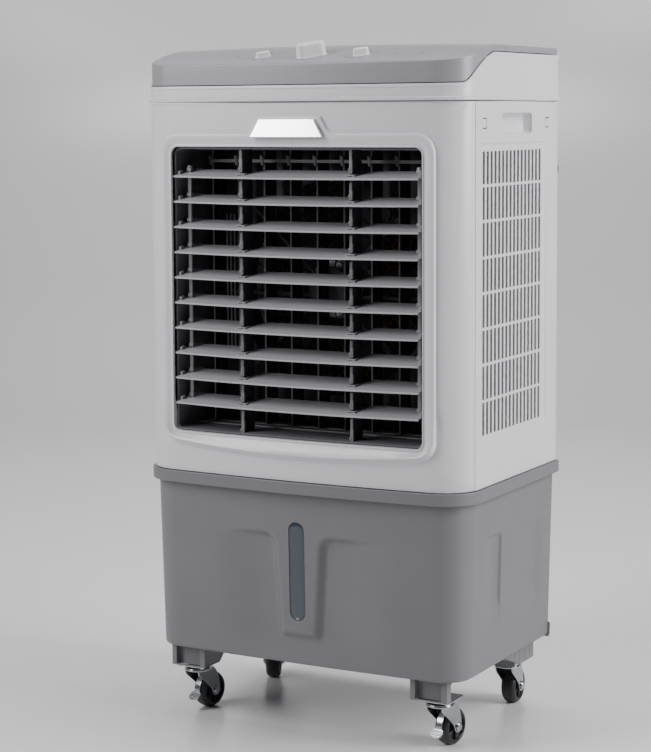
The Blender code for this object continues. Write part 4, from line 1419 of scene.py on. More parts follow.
@dataclass
class Tank:
    """The grey water tank: rim, tapering walls with their relief, ribbed feet, window slot and door opening."""

    sizes: Sizes
    rim_bottom: float = 0.3345
    floor: float = 0.0985
    inset: float = 0.0045
    taper: float = 0.0060
    rim_proud: float = 0.0040
    wall: float = 0.0030
    tank_bow: float = 0.0030

    def reliefs(self) -> list[Relief]:
        """The relief of the front and of both sides.

        Returns:
            The reliefs of the front, the right and the left.
        """
        plan = self.sizes.plan
        front = Relief(-0.001, 0.022, 0.0325, 0.134, 0.152)
        near, far = plan.length_at(0.137), plan.length_at(0.247)
        middle, half = (near + far) / 2, (far - near) / 2
        reach_near, reach_far = middle - plan.length_at(0.070), plan.length_at(0.285) - middle
        form = {"deep": 0.0034, "wall": 0.0030, "turn": 0.008, "column_foot": 0.09, "floor": 0.150}
        right = Relief(middle, half, half, reach_near, reach_far, **form)
        left = Relief(-middle, half, half, reach_far, reach_near, **form)
        return [front, right, left]

    def wall_offset(self, length: float, z: float, reliefs: Sequence[Relief]) -> float:
        """Offset of the outer wall from the plan.

        Args:
            length: length along the plan.
            z: height.
            reliefs: the reliefs of the walls.

        Returns:
            The offset, outwards.
        """
        share = (0.349 - z) / (0.349 - self.floor)
        offset = -self.inset - self.taper * share
        plan = self.sizes.plan
        if abs(length) < plan.flat_half:
            offset -= (plan.bow - self.tank_bow) * (1 - (length / plan.flat_half) ** 2)
        return offset - sum(relief.depth(length, z) for relief in reliefs)

    def build(self) -> None:
        """Build the tank's shell, its feet, its window and its openings."""
        plan = self.sizes.plan
        lengths = grid_lines([-plan.back_middle, *plan.ring(3.0)], 0.02)[:-1]
        reliefs = self.reliefs()
        rim = self.rim_bottom
        top = self.sizes.low_seam - 0.0008
        rings = []
        for z, inward in ((self.floor, 0.0055), (self.floor + 0.0006, 0.0022), (self.floor + 0.0020, 0.0006)):
            rings.append([plan.point(s, self.wall_offset(s, z, reliefs) - inward, z) for s in lengths])
        levels = [*spread(self.floor + 0.0045, 0.262, 46), *spread(0.2645, 0.284, 10)]
        for z in [*levels, *spread(0.288, rim - 0.0010, 8)]:
            rings.append([plan.point(s, self.wall_offset(s, z, reliefs), z) for s in lengths])
        proud = self.rim_proud
        for z, offset in (
            (rim, proud - 0.0012), (rim + 0.0004, proud - 0.0003), (rim + 0.0012, proud), (top - 0.0014, proud),
            (top - 0.0004, proud - 0.0004), (top, proud - 0.0014), (top, -0.0010),
        ):
            rings.append([plan.point(s, offset, z) for s in lengths])
        shell = Surface().loft(rings)
        shell.faces.append(tuple(range(len(lengths))))
        tank = thicken(shell.build("tank_shell", INSIDE - Vector((0, 0, 0.28))), self.wall)
        carve(tank, self.cuts())
        seat(settle(tank, Edges(sharp=35)), GREY_ABS, stands_for=["tank"])
        self.feet()
        self.window()

    def cuts(self) -> Surface:
        """Cutters for the window slot, the filling door and the drain.

        Returns:
            The cutters.
        """
        front = self.sizes.plan.front
        slot = rounded_rectangle((-0.0140, 0.1590), (0.0100, 0.2940), 0.0119, 8)
        cuts = Surface().extrude(slot, -front - 0.04, -front + 0.03, ALONG_Y)
        back = front + Plan.depth
        cuts.block((-0.150, back - 0.03, 0.2312), (-0.030, back + 0.01, 0.2920))
        turn = Matrix.Translation((0.12, back - 0.03, 0.125)) @ Matrix.Rotation(-math.pi / 2, 4, "X")
        cuts.lathe([(0.0115, 0.0), (0.0115, 0.05)], turn)
        return cuts

    def feet(self) -> None:
        """The four moulded feet: walls and ribs round open pockets."""
        front = self.sizes.plan.front
        for corner, (x, depth) in FEET.items():
            long = 0.096 if corner.startswith("rear") else 0.030
            near, far = depth - long, depth + (0.024 if corner.startswith("rear") else 0.032)
            side = 1 if x > 0 else -1
            rear = corner.startswith("rear")
            foot = Surface()
            low, high = 0.0697, self.floor + 0.002
            inner, outer = x - side * 0.030, x + side * (0.030 if rear else 0.024)
            left, right = min(inner, outer), max(inner, outer)
            y = front + near
            if rear:
                profile = [(y, high - 0.0012), (y + 0.004, high - 0.0050), (y + 0.072, low), (front + far, low)]
                foot.extrude([*profile, (front + far, high)], left, right, ALONG_X)
                for step in range(4):
                    rib, start = outer + side * 0.0004, y + 0.052 + 0.018 * step
                    foot.block((min(rib, x), start, low + 0.0004), (max(rib, x), start + 0.003, high))
            else:
                for start, end in ((left, left + 0.0075), (right - 0.0085, right)):
                    foot.block((start, y, low), (end, y + 0.0118, high))
                foot.block((left, y + 0.0095, low), (right, y + 0.0118, high))
                foot.block((left - 0.0002, y - 0.0003, low), (right + 0.0002, y + 0.0016, low + 0.0020))
                profile = [(y + 0.010, low), (y + 0.040, low), (front + far + 0.012, high), (y + 0.010, high)]
                foot.extrude(profile, min(inner, x + side * 0.006), max(inner, x + side * 0.006), ALONG_X)
            made = settle(foot.build("tank_foot_" + corner), Edges(rounding=0.0007, sharp=35))
            seat(made, GREY_ABS)

    def window(self) -> None:
        """The tinted level window, slightly crowned, with a raised rim."""
        low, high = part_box("level_window")
        lean = math.atan2(self.taper, 0.349 - self.floor)
        middle = (low + high) / 2
        place = Matrix.Translation(middle) @ Matrix.Rotation(lean, 4, "X") @ ALONG_Y
        rings = []
        for inset, out in (
            (0.0, -0.0010), (0.0, 0.0004), (0.0004, 0.0010), (0.0016, 0.0012), (0.0022, 0.0007), (0.006, 0.0012),
        ):
            half, tall = 0.0116 - inset, 0.0671 - inset
            outline = rounded_rectangle((-half, -tall), (half, tall), 0.0113 - inset, 10)
            rings.append([place @ Vector((u, v, out)) for u, v in outline])
        window = Surface().loft(rings, caps=True).build("window_pane")
        # The pane's dark tone is partly its tint and partly painted shade of the tank's inside, drawn as an opaque
        # colour.
        seat(settle(window, Edges(sharp=40)), WINDOW_TINT_AND_SHADE_PS, stands_for=["level_window"])


# ---- air outlet ----
@dataclass
class Outlet:
    """The box that lines the outlet, its mullions, ten linked blades and the bar behind the vanes."""

    sizes: Sizes
    half: float = 0.1885
    bottom: float = 0.4070
    top: float = 0.7940
    mullion: float = 0.083
    mullion_depths: Flat = (0.004, 0.031)
    blades: int = 10
    first: float = 0.7540
    pitch: float = 0.03427
    chord: Flat = (-0.0045, 0.038)
    pivot: float = 0.008
    tilt: float = math.radians(10.5)
    link_x: float = 0.174
    link_depth: float = 0.020

    def blade_height(self, index: int) -> float:
        """Height of a blade's pivot."""
        return self.first + (self.pivot - self.chord[0]) * math.tan(self.tilt) - self.pitch * index

    def build(self) -> None:
        """Build the whole outlet."""
        self.frame()
        self.mullions()
        for index in range(self.blades):
            self.blade(index)
        self.links()
        self.vane_bar()

    def frame(self) -> None:
        """The lining, with a ledge at its bottom and the vanes' rails."""
        plan = self.sizes.plan
        gap, wall = 0.0006, 0.0025
        rings = []
        for inset, offset, depth in (
            (gap, None, 0.101), (gap, -0.0040, 0.0), (gap + 0.0005, -0.0034, 0.0),
            (wall + gap - 0.0004, -0.0034, 0.0),
            (wall + gap, -0.0040, 0.0), (wall + gap, None, 0.101), (gap, None, 0.101),
        ):
            loop = panel_loop(self.half - inset, self.bottom + inset, self.top - inset, 0.010 - inset)
            if offset is None:
                rings.append([(s, plan.front + depth, z) for s, z in loop])
            else:
                rings.append([plan.point(s, offset, z) for s, z in loop])
        lining = Surface().loft(rings).build("outlet_lining")
        seat(settle(lining, Edges(sharp=35)), LINING_PP, stands_for=["louver_frame"])
        rails = Surface()
        y = plan.front
        for low, high in ((self.bottom + 0.0034, self.bottom + 0.0052), (self.top - 0.0052, self.top - 0.0034)):
            rails.block((-0.184, y + 0.052, low), (0.184, y + 0.0600, high))
            rails.block((-0.184, y + 0.0735, low), (0.184, y + 0.0865, high))
        seat(settle(rails.build("vane_rails"), Edges(rounding=0.0004)), CLIP_PP)
        low, high = self.bottom + 0.0060, self.top - 0.0060
        for index in range(9):
            x = 0.041 * (index - 4)
            nose = Surface()
            turn = Matrix.Translation((x, y + 0.0636, 0.0))
            section = [(-0.0010, 0.0006), (-0.0010, -0.0002), (0.0, -0.0010), (0.0010, -0.0002), (0.0010, 0.0006)]
            nose.extrude(section, low, high, turn)
            name = "vane_%d" % (index + 1)
            seat(settle(nose.build(name + "_nose"), Edges()), CLIP_PP, name)

    def mullions(self) -> None:
        """Two upright bars with a stepped front edge, notched where each blade passes."""
        y = self.sizes.plan.front
        near, far = self.mullion_depths
        for word, x in (("left", -self.mullion), ("right", self.mullion)):
            outline = [(y + far, 0.7925), (y + far, 0.4085), (y + near, 0.4085), (y + near, 0.7925)]
            bar = Surface().extrude(outline, x - 0.0016, x + 0.0016, ALONG_X)
            # Painted shade: the bars take the darkened copy of the lining's plastic.
            seat(settle(bar.build("mullion_" + word), Edges(rounding=0.0003)), MULLION_PP_PAINTED_SHADE)
            noses = Surface()
            tops = [0.7925] + [self.blade_height(index) - 0.0082 for index in range(self.blades)]
            for index, top in enumerate(tops):
                foot = self.blade_height(index) + 0.0040 if index < self.blades else 0.4090
                middle = mix(foot, top, 0.52)
                noses.block((x - 0.0022, y + near - 0.0012, middle), (x + 0.0018, y + near + 0.0008, top))
                noses.block((x - 0.0016, y + near - 0.0026, foot), (x + 0.0030, y + near + 0.0008, middle + 0.0008))
                noses.block((x - 0.0030, y + near - 0.0032, foot + 0.0030), (x + 0.0010, y + near, foot + 0.0062))
            made = settle(noses.build("mullion_nose_" + word), Edges(rounding=0.0004))
            seat(made, NOSE_PP)

    def blade_plan(self, half: float) -> list[Flat]:
        """Plan of a blade about its pivot, with the slots that straddle the mullions.

        Args:
            half: half the length of the blade.

        Returns:
            The points of the outline.
        """
        plan = self.sizes.plan
        near, far = self.chord[0] - self.pivot, self.chord[1] - self.pivot
        points = []
        for x in spread(-half, half, 24):
            points.append((x, near - plan.bow * (1 - (x / plan.flat_half) ** 2)))
        points.append((half, far))
        slot_end = self.mullion_depths[0] - self.pivot - 0.002
        for x in (self.mullion, -self.mullion):
            points += [(x + 0.018, far), (x + 0.006, far / 3), (x + 0.003, far / 3), (x + 0.003, slot_end)]
            points += [(x - 0.003, slot_end), (x - 0.003, far)]
        points.append((-half, far))
        return points

    def blade(self, index: int) -> None:
        """One blade: plate, rounded front lip, clips over the mullions, end hooks and stiffening ribs.

        Args:
            index: number of the blade, from 0 at the top.
        """
        half = self.half - 0.0045
        plan = self.sizes.plan
        name = "louver_%02d" % (index + 1)
        place = Matrix.Translation((0, plan.front + self.pivot, self.blade_height(index)))
        place = place @ Matrix.Rotation(self.tilt, 4, "X")
        plate = Surface().extrude(self.blade_plan(half), -0.0009, 0.0009, place)
        rings = []
        for x in spread(-half, half, 32):
            front = self.chord[0] - self.pivot - plan.bow * (1 - (x / plan.flat_half) ** 2)
            section = rounded_rectangle((front - 0.0004, -0.0013), (front + 0.0022, 0.0012), 0.0008, 3)
            rings.append([place @ Vector((x, v, z)) for v, z in section])
        plate.loft(rings, caps=True)
        blade = settle(plate.build(name + "_blade"), Edges(rounding=0.0002, segments=1, sharp=35))
        seat(blade, BLADE_PP, name, [name])
        fittings = Surface()
        for x in (-self.mullion, self.mullion):
            fittings.block((x - 0.0068, -0.0075, 0.0008), (x - 0.0034, 0.0020, 0.0030), place)
            fittings.block((x + 0.0034, -0.0075, 0.0008), (x + 0.0068, 0.0020, 0.0030), place)
            fittings.block((x - 0.0068, -0.0075, 0.0020), (x + 0.0068, -0.0058, 0.0036), place)
        for side in (-1, 1):
            inner, outer = sorted((side * (half - 0.0040), side * (half - 0.0005)))
            fittings.block((inner, -0.0030, 0.0006), (outer, 0.0045, 0.0052), place)
            inner, outer = sorted((side * 0.165, side * (half - 0.0005)))
            fittings.block((inner, 0.0268, 0.0006), (outer, 0.0290, 0.0026), place)
            turn = place @ Matrix.Translation((side * (half - 0.004), 0, 0))
            turn = turn @ Matrix.Rotation(side * math.pi / 2, 4, "Y")
            fittings.lathe([(0.0020, 0.0), (0.0020, 0.0046), (0.0016, 0.0050)], turn, 16)
        made = settle(fittings.build(name + "_clips"), Edges(rounding=0.0004))
        seat(made, CLIP_PP, name)

    def links(self) -> None:
        """The two upright bars that tie the blades together, with a pin head above each blade."""
        y = self.sizes.plan.front + self.link_depth
        lever = self.link_depth - self.pivot
        heights = [self.blade_height(index) + lever * math.tan(self.tilt) for index in range(self.blades)]
        for word, x, nodes in (("left", -self.link_x, ["louver_link"]), ("right", self.link_x, [])):
            low, high = heights[-1] - 0.006, heights[0] + 0.006
            bar = Surface().block((x - 0.0025, y - 0.0015, low), (x + 0.0025, y + 0.0015, high))
            for z in heights:
                bar.block((x - 0.0034, y - 0.0030, z + 0.0022), (x + 0.0034, y + 0.0030, z + 0.0066))
            turn = Matrix.Translation((x, y, heights[0] + 0.0055))
            head = [(0.0016, 0.0), (0.0032, 0.0010), (0.0036, 0.0024), (0.0030, 0.0040), (0.0014, 0.0048)]
            bar.lathe(head, turn, 20)
            made = settle(bar.build("blade_link_" + word), Edges(rounding=0.0005))
            seat(made, CLIP_PP, "louver_link", nodes)

    def vane_bar(self) -> None:
        """The rod that swings the vanes, with a hook for each of them."""
        low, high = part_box("vane_link")
        middle = (low + high) / 2
        bar = Surface().block((low.x, low.y, low.z + 0.0003), (high.x, high.y, high.z - 0.0003))
        for x in spread(low.x + 0.004, high.x - 0.004, 8):
            turn = Matrix.Translation((x, middle.y, middle.z - 0.0060))
            bar.lathe([(0.0024, 0.0), (0.0028, 0.0006), (0.0028, 0.0112), (0.0020, 0.0124)], turn, 16)
            hook = (x - 0.0042, middle.y - 0.0018, middle.z + 0.0016)
            bar.block(hook, (x - 0.0008, middle.y + 0.0018, middle.z + 0.0078))
        made = settle(bar.build("vane_bar"), Edges(rounding=0.0004))
        seat(made, NOSE_PP, "vane_link", ["vane_link"])


# ---- fan ----
@dataclass
class FanGroup:
    """The fan with twisted blades, its motor, the guard in front of it and the diagonal stays."""

    sizes: Sizes
    z: float = 0.600
    guard_depth: float = 0.0985
    radius: float = 0.140
    blades: int = 5

    def build(self) -> None:
        """Build all of it."""
        self.guard()
        self.motor()
        self.fan()

    def guard(self) -> None:
        """Wire rings on radial wires, and four flat stays from the hub to the lining."""
        y = self.sizes.plan.front + self.guard_depth
        wires = Surface()
        for radius in spread(0.040, 0.142, 6):
            ring = []
            for angle in spread(0.0, 2 * math.pi, 60):
                ring.append(Vector((radius * math.cos(angle), y, self.z + radius * math.sin(angle))))
            wires.tube(ring, 0.0009, 6)
        for step in range(12):
            angle = math.radians(15 + 30 * step)
            way = Vector((math.cos(angle), 0, math.sin(angle)))
            hub = Vector((0, y - 0.0016, self.z))
            wires.tube([hub + way * 0.030, hub + way * 0.146], 0.0011, 6)
        cords = Surface()
        for x in (-0.1575, -0.1515, -0.1455):
            cords.tube([Vector((x, y - 0.010, 0.507)), Vector((x, y - 0.010, 0.700))], 0.0011, 8)
        seat(settle(wires.build("guard_wires"), Edges(sharp=60)), GUARD_WIRE)
        seat(settle(cords.build("guard_side_wires"), Edges(sharp=60)), ZINC_WIRE)
        stays = Surface()
        for angle in (43, 137, 223, 317):
            turn = Matrix.Translation((0, y - 0.0034, self.z)) @ Matrix.Rotation(-math.radians(angle), 4, "Y")
            stays.block((0.026, -0.0012, -0.0018), (0.188, 0.0012, 0.0018), turn)
        disc = Matrix.Translation((0, y + 0.0005, self.z)) @ Matrix.Rotation(math.pi / 2, 4, "X")
        stays.lathe([(0.031, 0.0), (0.031, 0.0040), (0.028, 0.0058), (0.012, 0.0062), (0.011, 0.0050)], disc, 40)
        for lift in (-0.009, 0.009):
            stays.block((-0.176, y - 0.0052, self.z + lift - 0.0022), (0.176, y - 0.0020, self.z + lift + 0.0022))
        seat(settle(stays.build("guard_stays"), Edges(rounding=0.0004)), STAY_PP)

    def motor(self) -> None:
        """The motor can with its end bells, seam and shaft."""
        low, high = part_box("fan_motor")
        turn = Matrix.Translation((0, low.y, self.z)) @ Matrix.Rotation(-math.pi / 2, 4, "X")
        r = 0.044
        profile = [(0.016, 0.0), (0.030, 0.0003), (r - 0.005, 0.0016), (r - 0.0012, 0.0040)]
        profile += [(r, 0.0070), (r, 0.0150)]
        profile += [(r - 0.0008, 0.0154), (r - 0.0008, 0.0174), (r, 0.0178), (r, 0.0270), (r - 0.0012, 0.0300)]
        profile += [(r - 0.005, 0.0326), (0.030, 0.0338), (0.010, 0.0340), (0.0085, 0.0352), (0.0040, 0.0354)]
        profile += [(0.0040, high.y - low.y)]
        can = Surface().lathe(profile, turn, 48).build("motor_can")
        seat(settle(can, Edges(sharp=35)), CAN_STEEL, stands_for=["fan_motor"])

    def fan(self) -> None:
        """The hub and its twisted, swept blades."""
        low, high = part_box("fan")
        middle = (low.y + high.y) / 2
        turn = Matrix.Translation((0, middle - 0.015, self.z)) @ Matrix.Rotation(-math.pi / 2, 4, "X")
        profile = [(0.0046, 0.0), (0.0270, 0.0), (0.0296, 0.0012), (0.0300, 0.0040), (0.0300, 0.0250)]
        profile.append((0.0285, 0.0285))
        profile += [(0.0240, 0.0298), (0.0070, 0.0300), (0.0046, 0.0290)]
        fan = Surface().lathe(profile, turn, 48)
        for step in range(self.blades):
            spin = Matrix.Rotation(2 * math.pi * step / self.blades, 4, "Y")
            place = Matrix.Translation((0, middle, self.z)) @ spin
            rings = []
            for share in spread(0.0, 1.0, 12):
                radius = mix(0.026, self.radius, share)
                chord = mix(0.017, 0.030, math.sin(share * math.pi * 0.62))
                pitch = math.radians(mix(40, 22, share))
                sweep = 0.012 * share * share
                ring = []
                for u, camber in ((-1, 0.0), (-0.5, 0.0016), (0, 0.0022), (0.5, 0.0016), (1, 0.0)):
                    ring.append((u * chord, camber + 0.0009))
                for u, camber in ((1, 0.0), (0.5, 0.0016), (0, 0.0022), (-0.5, 0.0016), (-1, 0.0)):
                    ring.append((u * chord, camber - 0.0009))
                turned = []
                for u, v in ring:
                    z = u * math.cos(pitch) - v * math.sin(pitch) + sweep
                    y = -(u * math.sin(pitch) + v * math.cos(pitch)) * 0.9
                    turned.append(place @ Vector((math.sqrt(max(0.0, radius**2 - z**2)), y, z)))
                rings.append(turned)
            fan.loft(rings, caps=True)
        made = fan.build("fan_wheel")
        seat(settle(made, Edges(sharp=40)), DUCT_PP, "fan", ["fan"])


# ---- wetted parts ----
@dataclass
class WettedParts:
    """The honeycomb pads of the rear and both sides."""

    flute: float = 0.0062
    wave: float = 0.0130
    step: float = 0.0022

    def build(self) -> None:
        """Build the three pads."""
        for name in ("side_pad_left", "side_pad_right", "rear_pad"):
            self.pad(name)

    def pad(self, name: str) -> None:
        """Wavy paper sheets glued crest to crest, edge on to the air.

        Args:
            name: name of the solid that the pad stands for.
        """
        low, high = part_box(name)
        across = 0 if high.x - low.x > high.y - low.y else 1
        through = 1 - across
        count = int((high[across] - low[across] - 0.001) / self.flute)
        levels = spread(low.z + 0.0005, high.z - 0.0005, round((high.z - low.z) / self.step))
        pad = Surface()
        for sheet in range(count):
            phase = math.pi * (sheet % 2)
            middle = low[across] + self.flute * (sheet + 0.5) + (high[across] - low[across] - count * self.flute) / 2
            rings = []
            for z in levels:
                shift = 0.46 * self.flute * math.sin(2 * math.pi * (z - low.z) / self.wave + phase)
                pair = []
                for depth in (low[through] + 0.0004, high[through] - 0.0004):
                    point = [0.0, 0.0, z]
                    point[across], point[through] = middle + shift, depth
                    pair.append(tuple(point))
                rings.append(pair)
            pad.loft(rings, closed=False)
        made = pad.build(name + "_comb")
        seat(settle(made, Edges(sharp=80)), KRAFT_PAD, stands_for=[name])


# ---- casters ----
@dataclass
class Caster:
    """A swivel caster: plate with ball race, forked arms, axle bolt, moulded wheel and foot brake."""

    corner: str
    angle: float
    front: float
    top: float = 0.0691
    trail: float = 0.024
    wheel_radius: float = 0.025
    wheel_half: float = 0.0105

    def place(self) -> Matrix:
        """Swivel axis, turned to the direction in which the caster trails."""
        x, depth = FEET[self.corner]
        return Matrix.Translation((x, self.front + depth, 0)) @ Matrix.Rotation(math.radians(self.angle), 4, "Z")

    def build(self) -> None:
        """Build the plate, fork and wheel, and the brake of a front caster."""
        place = self.place()
        self.plate()
        self.fork(place)
        self.wheel(place)
        if self.corner.startswith("front"):
            self.brake(place)

    def plate(self) -> None:
        """The top plate with its four bolts and the upper ring of the ball race."""
        x, depth = FEET[self.corner]
        place = Matrix.Translation((x, self.front + depth, 0))
        outline = rounded_rectangle((-0.024, -0.024), (0.024, 0.024), 0.005, 6)
        plate = Surface().extrude(outline, self.top - 0.0022, self.top, place)
        race = [(0.010, -0.0062), (0.0150, -0.0062), (0.0166, -0.0054), (0.0172, -0.0042), (0.0166, -0.0028)]
        race.append((0.0176, -0.0022))
        plate.lathe(race, place @ Matrix.Translation((0, 0, self.top)), 40)
        for u in (-0.018, 0.018):
            for v in (-0.018, 0.018):
                bolt = place @ Matrix.Translation((u, v, self.top - 0.0022)) @ Matrix.Rotation(math.pi, 4, "X")
                plate.lathe([(0.0034, 0.0), (0.0034, 0.0016), (0.0026, 0.0024)], bolt, 6)
        name = "caster_plate_" + self.corner
        made = settle(plate.build(name + "_top"), Edges(rounding=0.0003, sharp=35))
        seat(made, PLATED_STEEL, stands_for=[name])

    def fork(self, place: Matrix) -> None:
        """The crown, two arms that narrow to the axle, and the axle with its bolt head and nut.

        Args:
            place: frame of the swivel.
        """
        crown = self.top - 0.0066
        fork = Surface()
        profile = [(0.004, 0.0), (0.0168, 0.0), (0.0188, -0.0008), (0.0195, -0.0024), (0.0194, -0.0040)]
        profile += [(0.0180, -0.0046), (0.004, -0.0046)]
        fork.lathe(profile, place @ Matrix.Translation((0, 0, crown)), 40)
        arm = [Vector((-0.0135, crown - 0.0010)), Vector((-0.0125, crown - 0.0100))]
        arm += [Vector((0.0030, 0.0390)), Vector((0.0125, 0.0300))]
        tip = [Vector((self.trail + 0.0080 * math.cos(a), self.wheel_radius + 0.0080 * math.sin(a)))
               for a in spread(math.radians(195), math.radians(370), 12)]
        back = [Vector((self.trail + 0.0066, 0.0380)), Vector((0.0255, crown - 0.0100))]
        back.append(Vector((0.0160, crown - 0.0010)))
        front_curve = smooth_curve([(p.x, p.y, 0) for p in arm + tip[:1]], 5)
        back_curve = smooth_curve([(p.x, p.y, 0) for p in tip[-1:] + back], 5)
        outline = [(p.x, p.y) for p in front_curve] + [tuple(p) for p in tip[1:-1]] + [(p.x, p.y) for p in back_curve]
        for side in (-1, 1):
            inner, outer = sorted((side * (self.wheel_half + 0.0009), side * (self.wheel_half + 0.0024)))
            fork.extrude(outline, inner, outer, place @ ALONG_X)
        axle = place @ Matrix.Translation((0, self.trail, self.wheel_radius)) @ Matrix.Rotation(math.pi / 2, 4, "Y")
        reach = self.wheel_half + 0.0024
        fork.lathe([(0.0034, -reach), (0.0034, reach)], axle, 20)
        fork.lathe([(0.0058, reach), (0.0058, reach + 0.0018), (0.0046, reach + 0.0030)], axle, 24)
        fork.lathe([(0.0054, -reach - 0.0030), (0.0058, -reach - 0.0024), (0.0058, -reach)], axle, 6)
        name = "caster_fork_" + self.corner
        made = settle(fork.build(name + "_pressed"), Edges(rounding=0.0004, sharp=35))
        seat(made, PLATED_STEEL, "caster_" + self.corner, [name])

    def wheel(self, place: Matrix) -> None:
        """The wheel: rounded tread, sunk web and a hub.

        Args:
            place: frame of the swivel.
        """
        axle = place @ Matrix.Translation((0, self.trail, self.wheel_radius)) @ Matrix.Rotation(math.pi / 2, 4, "Y")
        r, half = self.wheel_radius, self.wheel_half
        right = [(0.0040, half), (0.0072, half), (0.0078, half - 0.0006)]
        right += [(0.0080, half - 0.0042), (0.0172, half - 0.0042)]
        right += [(0.0176, half - 0.0008), (0.0186, half - 0.0002), (0.0206, half - 0.0002), (0.0226, half - 0.0014)]
        right += [(r - 0.0008, half - 0.0036), (r, half - 0.0060)]
        profile = right + [(radius, -level) for radius, level in reversed(right)]
        wheel = Surface().lathe(profile, axle, 56)
        for step in range(6):
            spoke = axle @ Matrix.Rotation(math.radians(60 * step), 4, "Z")
            wheel.block((0.0074, -0.0011, -half + 0.0014), (0.0178, 0.0011, half - 0.0014), spoke)
        name = "caster_wheel_" + self.corner
        made = settle(wheel.build(name + "_moulded"), Edges(rounding=0.0003, segments=1, sharp=30))
        seat(made, WHEEL_PP, "wheel_" + self.corner, [name])

    def brake(self, place: Matrix) -> None:
        """The pressed foot brake: a serrated tab ahead of the wheel on an arm that hugs the tread.

        Args:
            place: frame of the swivel.
        """
        centre = Vector((0.0, self.trail, self.wheel_radius))
        brake = Surface()
        rings = []
        for angle in spread(math.radians(116), math.radians(186), 14):
            ring = []
            for radius in (0.0264, 0.0278):
                v, z = centre.y + radius * math.cos(angle), centre.z + radius * math.sin(angle)
                ring.append((radius, v, z))
            wide = 0.0046
            section = [(-wide, *ring[0][1:]), (wide, *ring[0][1:]), (wide, *ring[1][1:]), (-wide, *ring[1][1:])]
            rings.append([place @ Vector(point) for point in section])
        brake.loft(rings, caps=True)
        tilt = place @ Matrix.Translation((0, self.trail - 0.0264, 0.0262))
        tilt = tilt @ Matrix.Rotation(math.radians(38), 4, "X")
        rings = []
        for share in spread(0.0, 1.0, 24):
            wide = 0.0086 * math.sqrt(max(0.06, 1 - (2 * share - 1) ** 4))
            lift = 0.00055 * math.sin(share * 56)
            v = -0.0150 * share
            section = [(-wide, v, -0.0009), (wide, v, -0.0009), (wide, v, 0.0008 + lift), (-wide, v, 0.0008 + lift)]
            rings.append([tilt @ Vector(point) for point in section])
        brake.loft(rings, caps=True)
        name = "caster_brake_" + self.corner
        made = settle(brake.build(name + "_pressed"), Edges(rounding=0.0003, sharp=35))
        seat(made, PLATED_STEEL, "brake_" + self.corner, [name])


# ---- pieces that keep their solids ----
def soften(node: bpy.types.Object, finish: Finish, rounding: float) -> None:
    """Dress a kept solid and round its edges.

    Args:
        node: the kept solid.
        finish: its material.
        rounding: radius of its edges.
    """
    node.data.materials.clear()
    node.data.materials.append(finish.material())
    if rounding:
        edges = node.modifiers.new("rounding", "BEVEL")
        edges.width = rounding
        edges.segments = 2
        edges.limit_method = "ANGLE"
        edges.angle_limit = math.radians(38)
    normals = node.modifiers.new("even_normals", "WEIGHTED_NORMAL")
    normals.keep_sharp = True


def dress_kept(nodes: dict[str, bpy.types.Object]) -> None:
    """Give the kept solids their real finishes.

    Args:
        nodes: the kept solids, by name.
    """
    kept = {
        "fan_shroud": (DUCT_PP, 0.0004),
        "pump": (GLAND_RUBBER, 0.0006),
        "hose": (VINYL_HOSE, 0.0),
        "water_distributor": (GREY_ABS, 0.0004),
        "swing_motor": (CAN_STEEL, 0.0003),
        "cord_gland": (GLAND_RUBBER, 0.0008),
        "drain_plug": (GLAND_RUBBER, 0.0006),
        "fill_door": (GREY_ABS, 0.0005),
    }
    for index in range(9):
        kept["vane_%d" % (index + 1)] = (VANE_PP, 0.0)
    for name, (finish, rounding) in kept.items():
        soften(nodes[name], finish, rounding)
        LOG.info("%s keeps its solid", name)


# ---- studio ----
@dataclass(frozen=True)
class Lamp:
    """A soft area light that faces a point of the object."""

    name: str
    place: Point
    aim: Point
    size: Flat
    power: float

    def build(self) -> None:
        """Add the light."""
        data = bpy.data.lights.new(self.name, "AREA")
        data.shape = "RECTANGLE"
        data.size, data.size_y = self.size
        data.energy = self.power
        lamp = bpy.data.objects.new(self.name, data)
        way = Vector(self.aim) - Vector(self.place)
        lamp.matrix_world = Matrix.Translation(self.place) @ way.to_track_quat("-Z", "Y").to_matrix().to_4x4()
        bpy.context.scene.collection.objects.link(lamp)


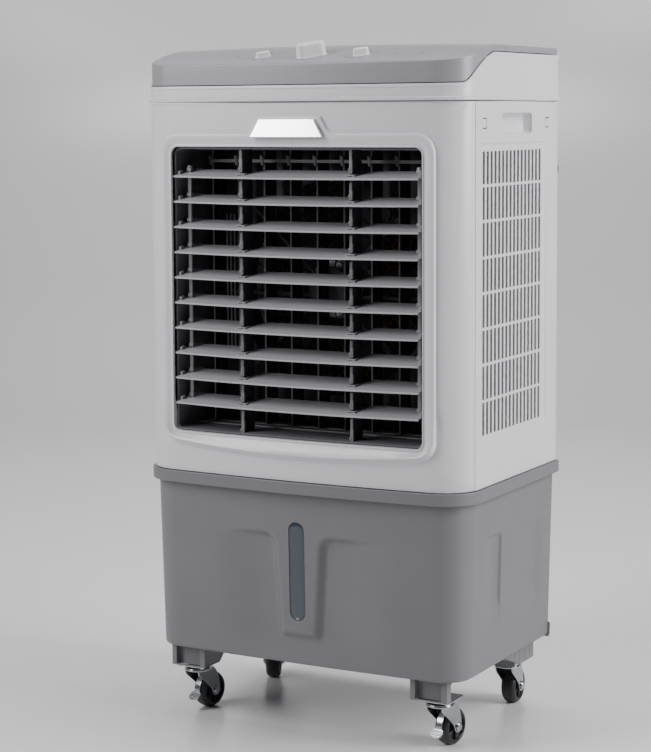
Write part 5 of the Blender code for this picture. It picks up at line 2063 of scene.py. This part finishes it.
@dataclass(frozen=True)
class Studio:
    """Plain pale floor that sweeps up behind, soft lights and the camera."""

    camera: Point = (1.31756, -2.4766, 0.8371)
    yaw: float = 28.76
    pitch: float = 5.695
    roll: float = -0.31
    lens: float = 97.03
    shift_y: float = -0.0798

    def build(self) -> None:
        """Build the floor, lights, sky and camera."""
        self.floor()
        for lamp in (
            Lamp("key_left", (-1.15, -1.50, 1.75), (0.0, -0.1, 0.55), (1.0, 1.9), 52.0),
            Lamp("side_right", (2.0, 0.15, 1.45), (0.2, 0.05, 0.5), (1.0, 1.8), 66.0),
            Lamp("overhead", (0.0, 0.55, 2.8), (0.0, 0.0, 0.8), (1.2, 1.2), 22.0),
            Lamp("backdrop", (-0.43, 0.90, 2.7), (-1.64, 2.98, 0.9), (2.6, 0.8), 64.0),
        ):
            lamp.build()
        world = bpy.data.worlds.new("studio")
        world.use_nodes = True
        sky = world.node_tree.nodes["Background"]
        sky.inputs["Color"].default_value = linear("#e8e8ea")
        sky.inputs["Strength"].default_value = 0.05
        bpy.context.scene.world = world
        data = bpy.data.cameras.new("camera")
        data.sensor_fit = "AUTO"
        data.sensor_width = 36.0
        data.lens = self.lens
        data.shift_y = self.shift_y
        view = bpy.data.objects.new("camera", data)
        turn = Matrix.Rotation(math.radians(self.yaw), 4, "Z")
        turn = turn @ Matrix.Rotation(math.radians(90 - self.pitch), 4, "X")
        view.matrix_world = Matrix.Translation(self.camera) @ turn @ Matrix.Rotation(math.radians(self.roll), 4, "Z")
        bpy.context.scene.collection.objects.link(view)
        bpy.context.scene.camera = view

    def floor(self) -> None:
        """The floor and its sweep."""
        profile = [(-6.0, 0.0), (2.6, 0.0)]
        for angle in spread(0.0, math.pi / 2, 12)[1:]:
            profile.append((2.6 + 1.2 * math.sin(angle), 1.2 - 1.2 * math.cos(angle)))
        profile.append((3.8, 5.0))
        turn = Matrix.Rotation(math.radians(self.yaw), 4, "Z")
        rings = [[turn @ Vector((x, y, z)) for x in (-8.0, 0.0, 8.0)] for y, z in profile]
        ground = Surface().loft(rings, closed=False).build("studio_floor")
        ground.data.shade_smooth()
        ground.data.materials.append(FLOOR_LAMINATE.material())


def build_object(frame: dict) -> None:
    """Build every sub-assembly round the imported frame.

    Args:
        frame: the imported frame, as it was loaded.
    """
    sizes = Sizes.read()
    shape = TopShape()
    vents = VentedPanel()
    FrontPanel(sizes).build()
    SidePanels(sizes, vents).build()
    RearPanel(sizes, vents).build()
    TopHousing(sizes, shape).build()
    ControlDeck(sizes, shape).build()
    Knob("knob_speed", 0.0, 0.041, 0.021, 0.0180, 42).build(sizes, shape)
    Knob("knob_swing", -0.0745, 0.0215, 0.011, 0.0070, 48).build(sizes, shape)
    Knob("knob_cool", 0.0745, 0.0225, 0.0125, 0.0095, 35).build(sizes, shape)
    Tank(sizes).build()
    Outlet(sizes).build()
    FanGroup(sizes).build()
    WettedParts().build()
    for corner, angle in (("front_left", -9.0), ("front_right", -9.0), ("rear_left", 205.0), ("rear_right", 3.0)):
        Caster(corner, angle, sizes.plan.front).build()
    dress_kept(frame["nodes"])


def main() -> None:
    """Load the frame, and build the pieces and the studio."""
    logging.basicConfig(level=logging.INFO, format="%(name)s: %(message)s")
    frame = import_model()
    build_object(frame)
    Studio().build()


if __name__ == "__main__":
    main()
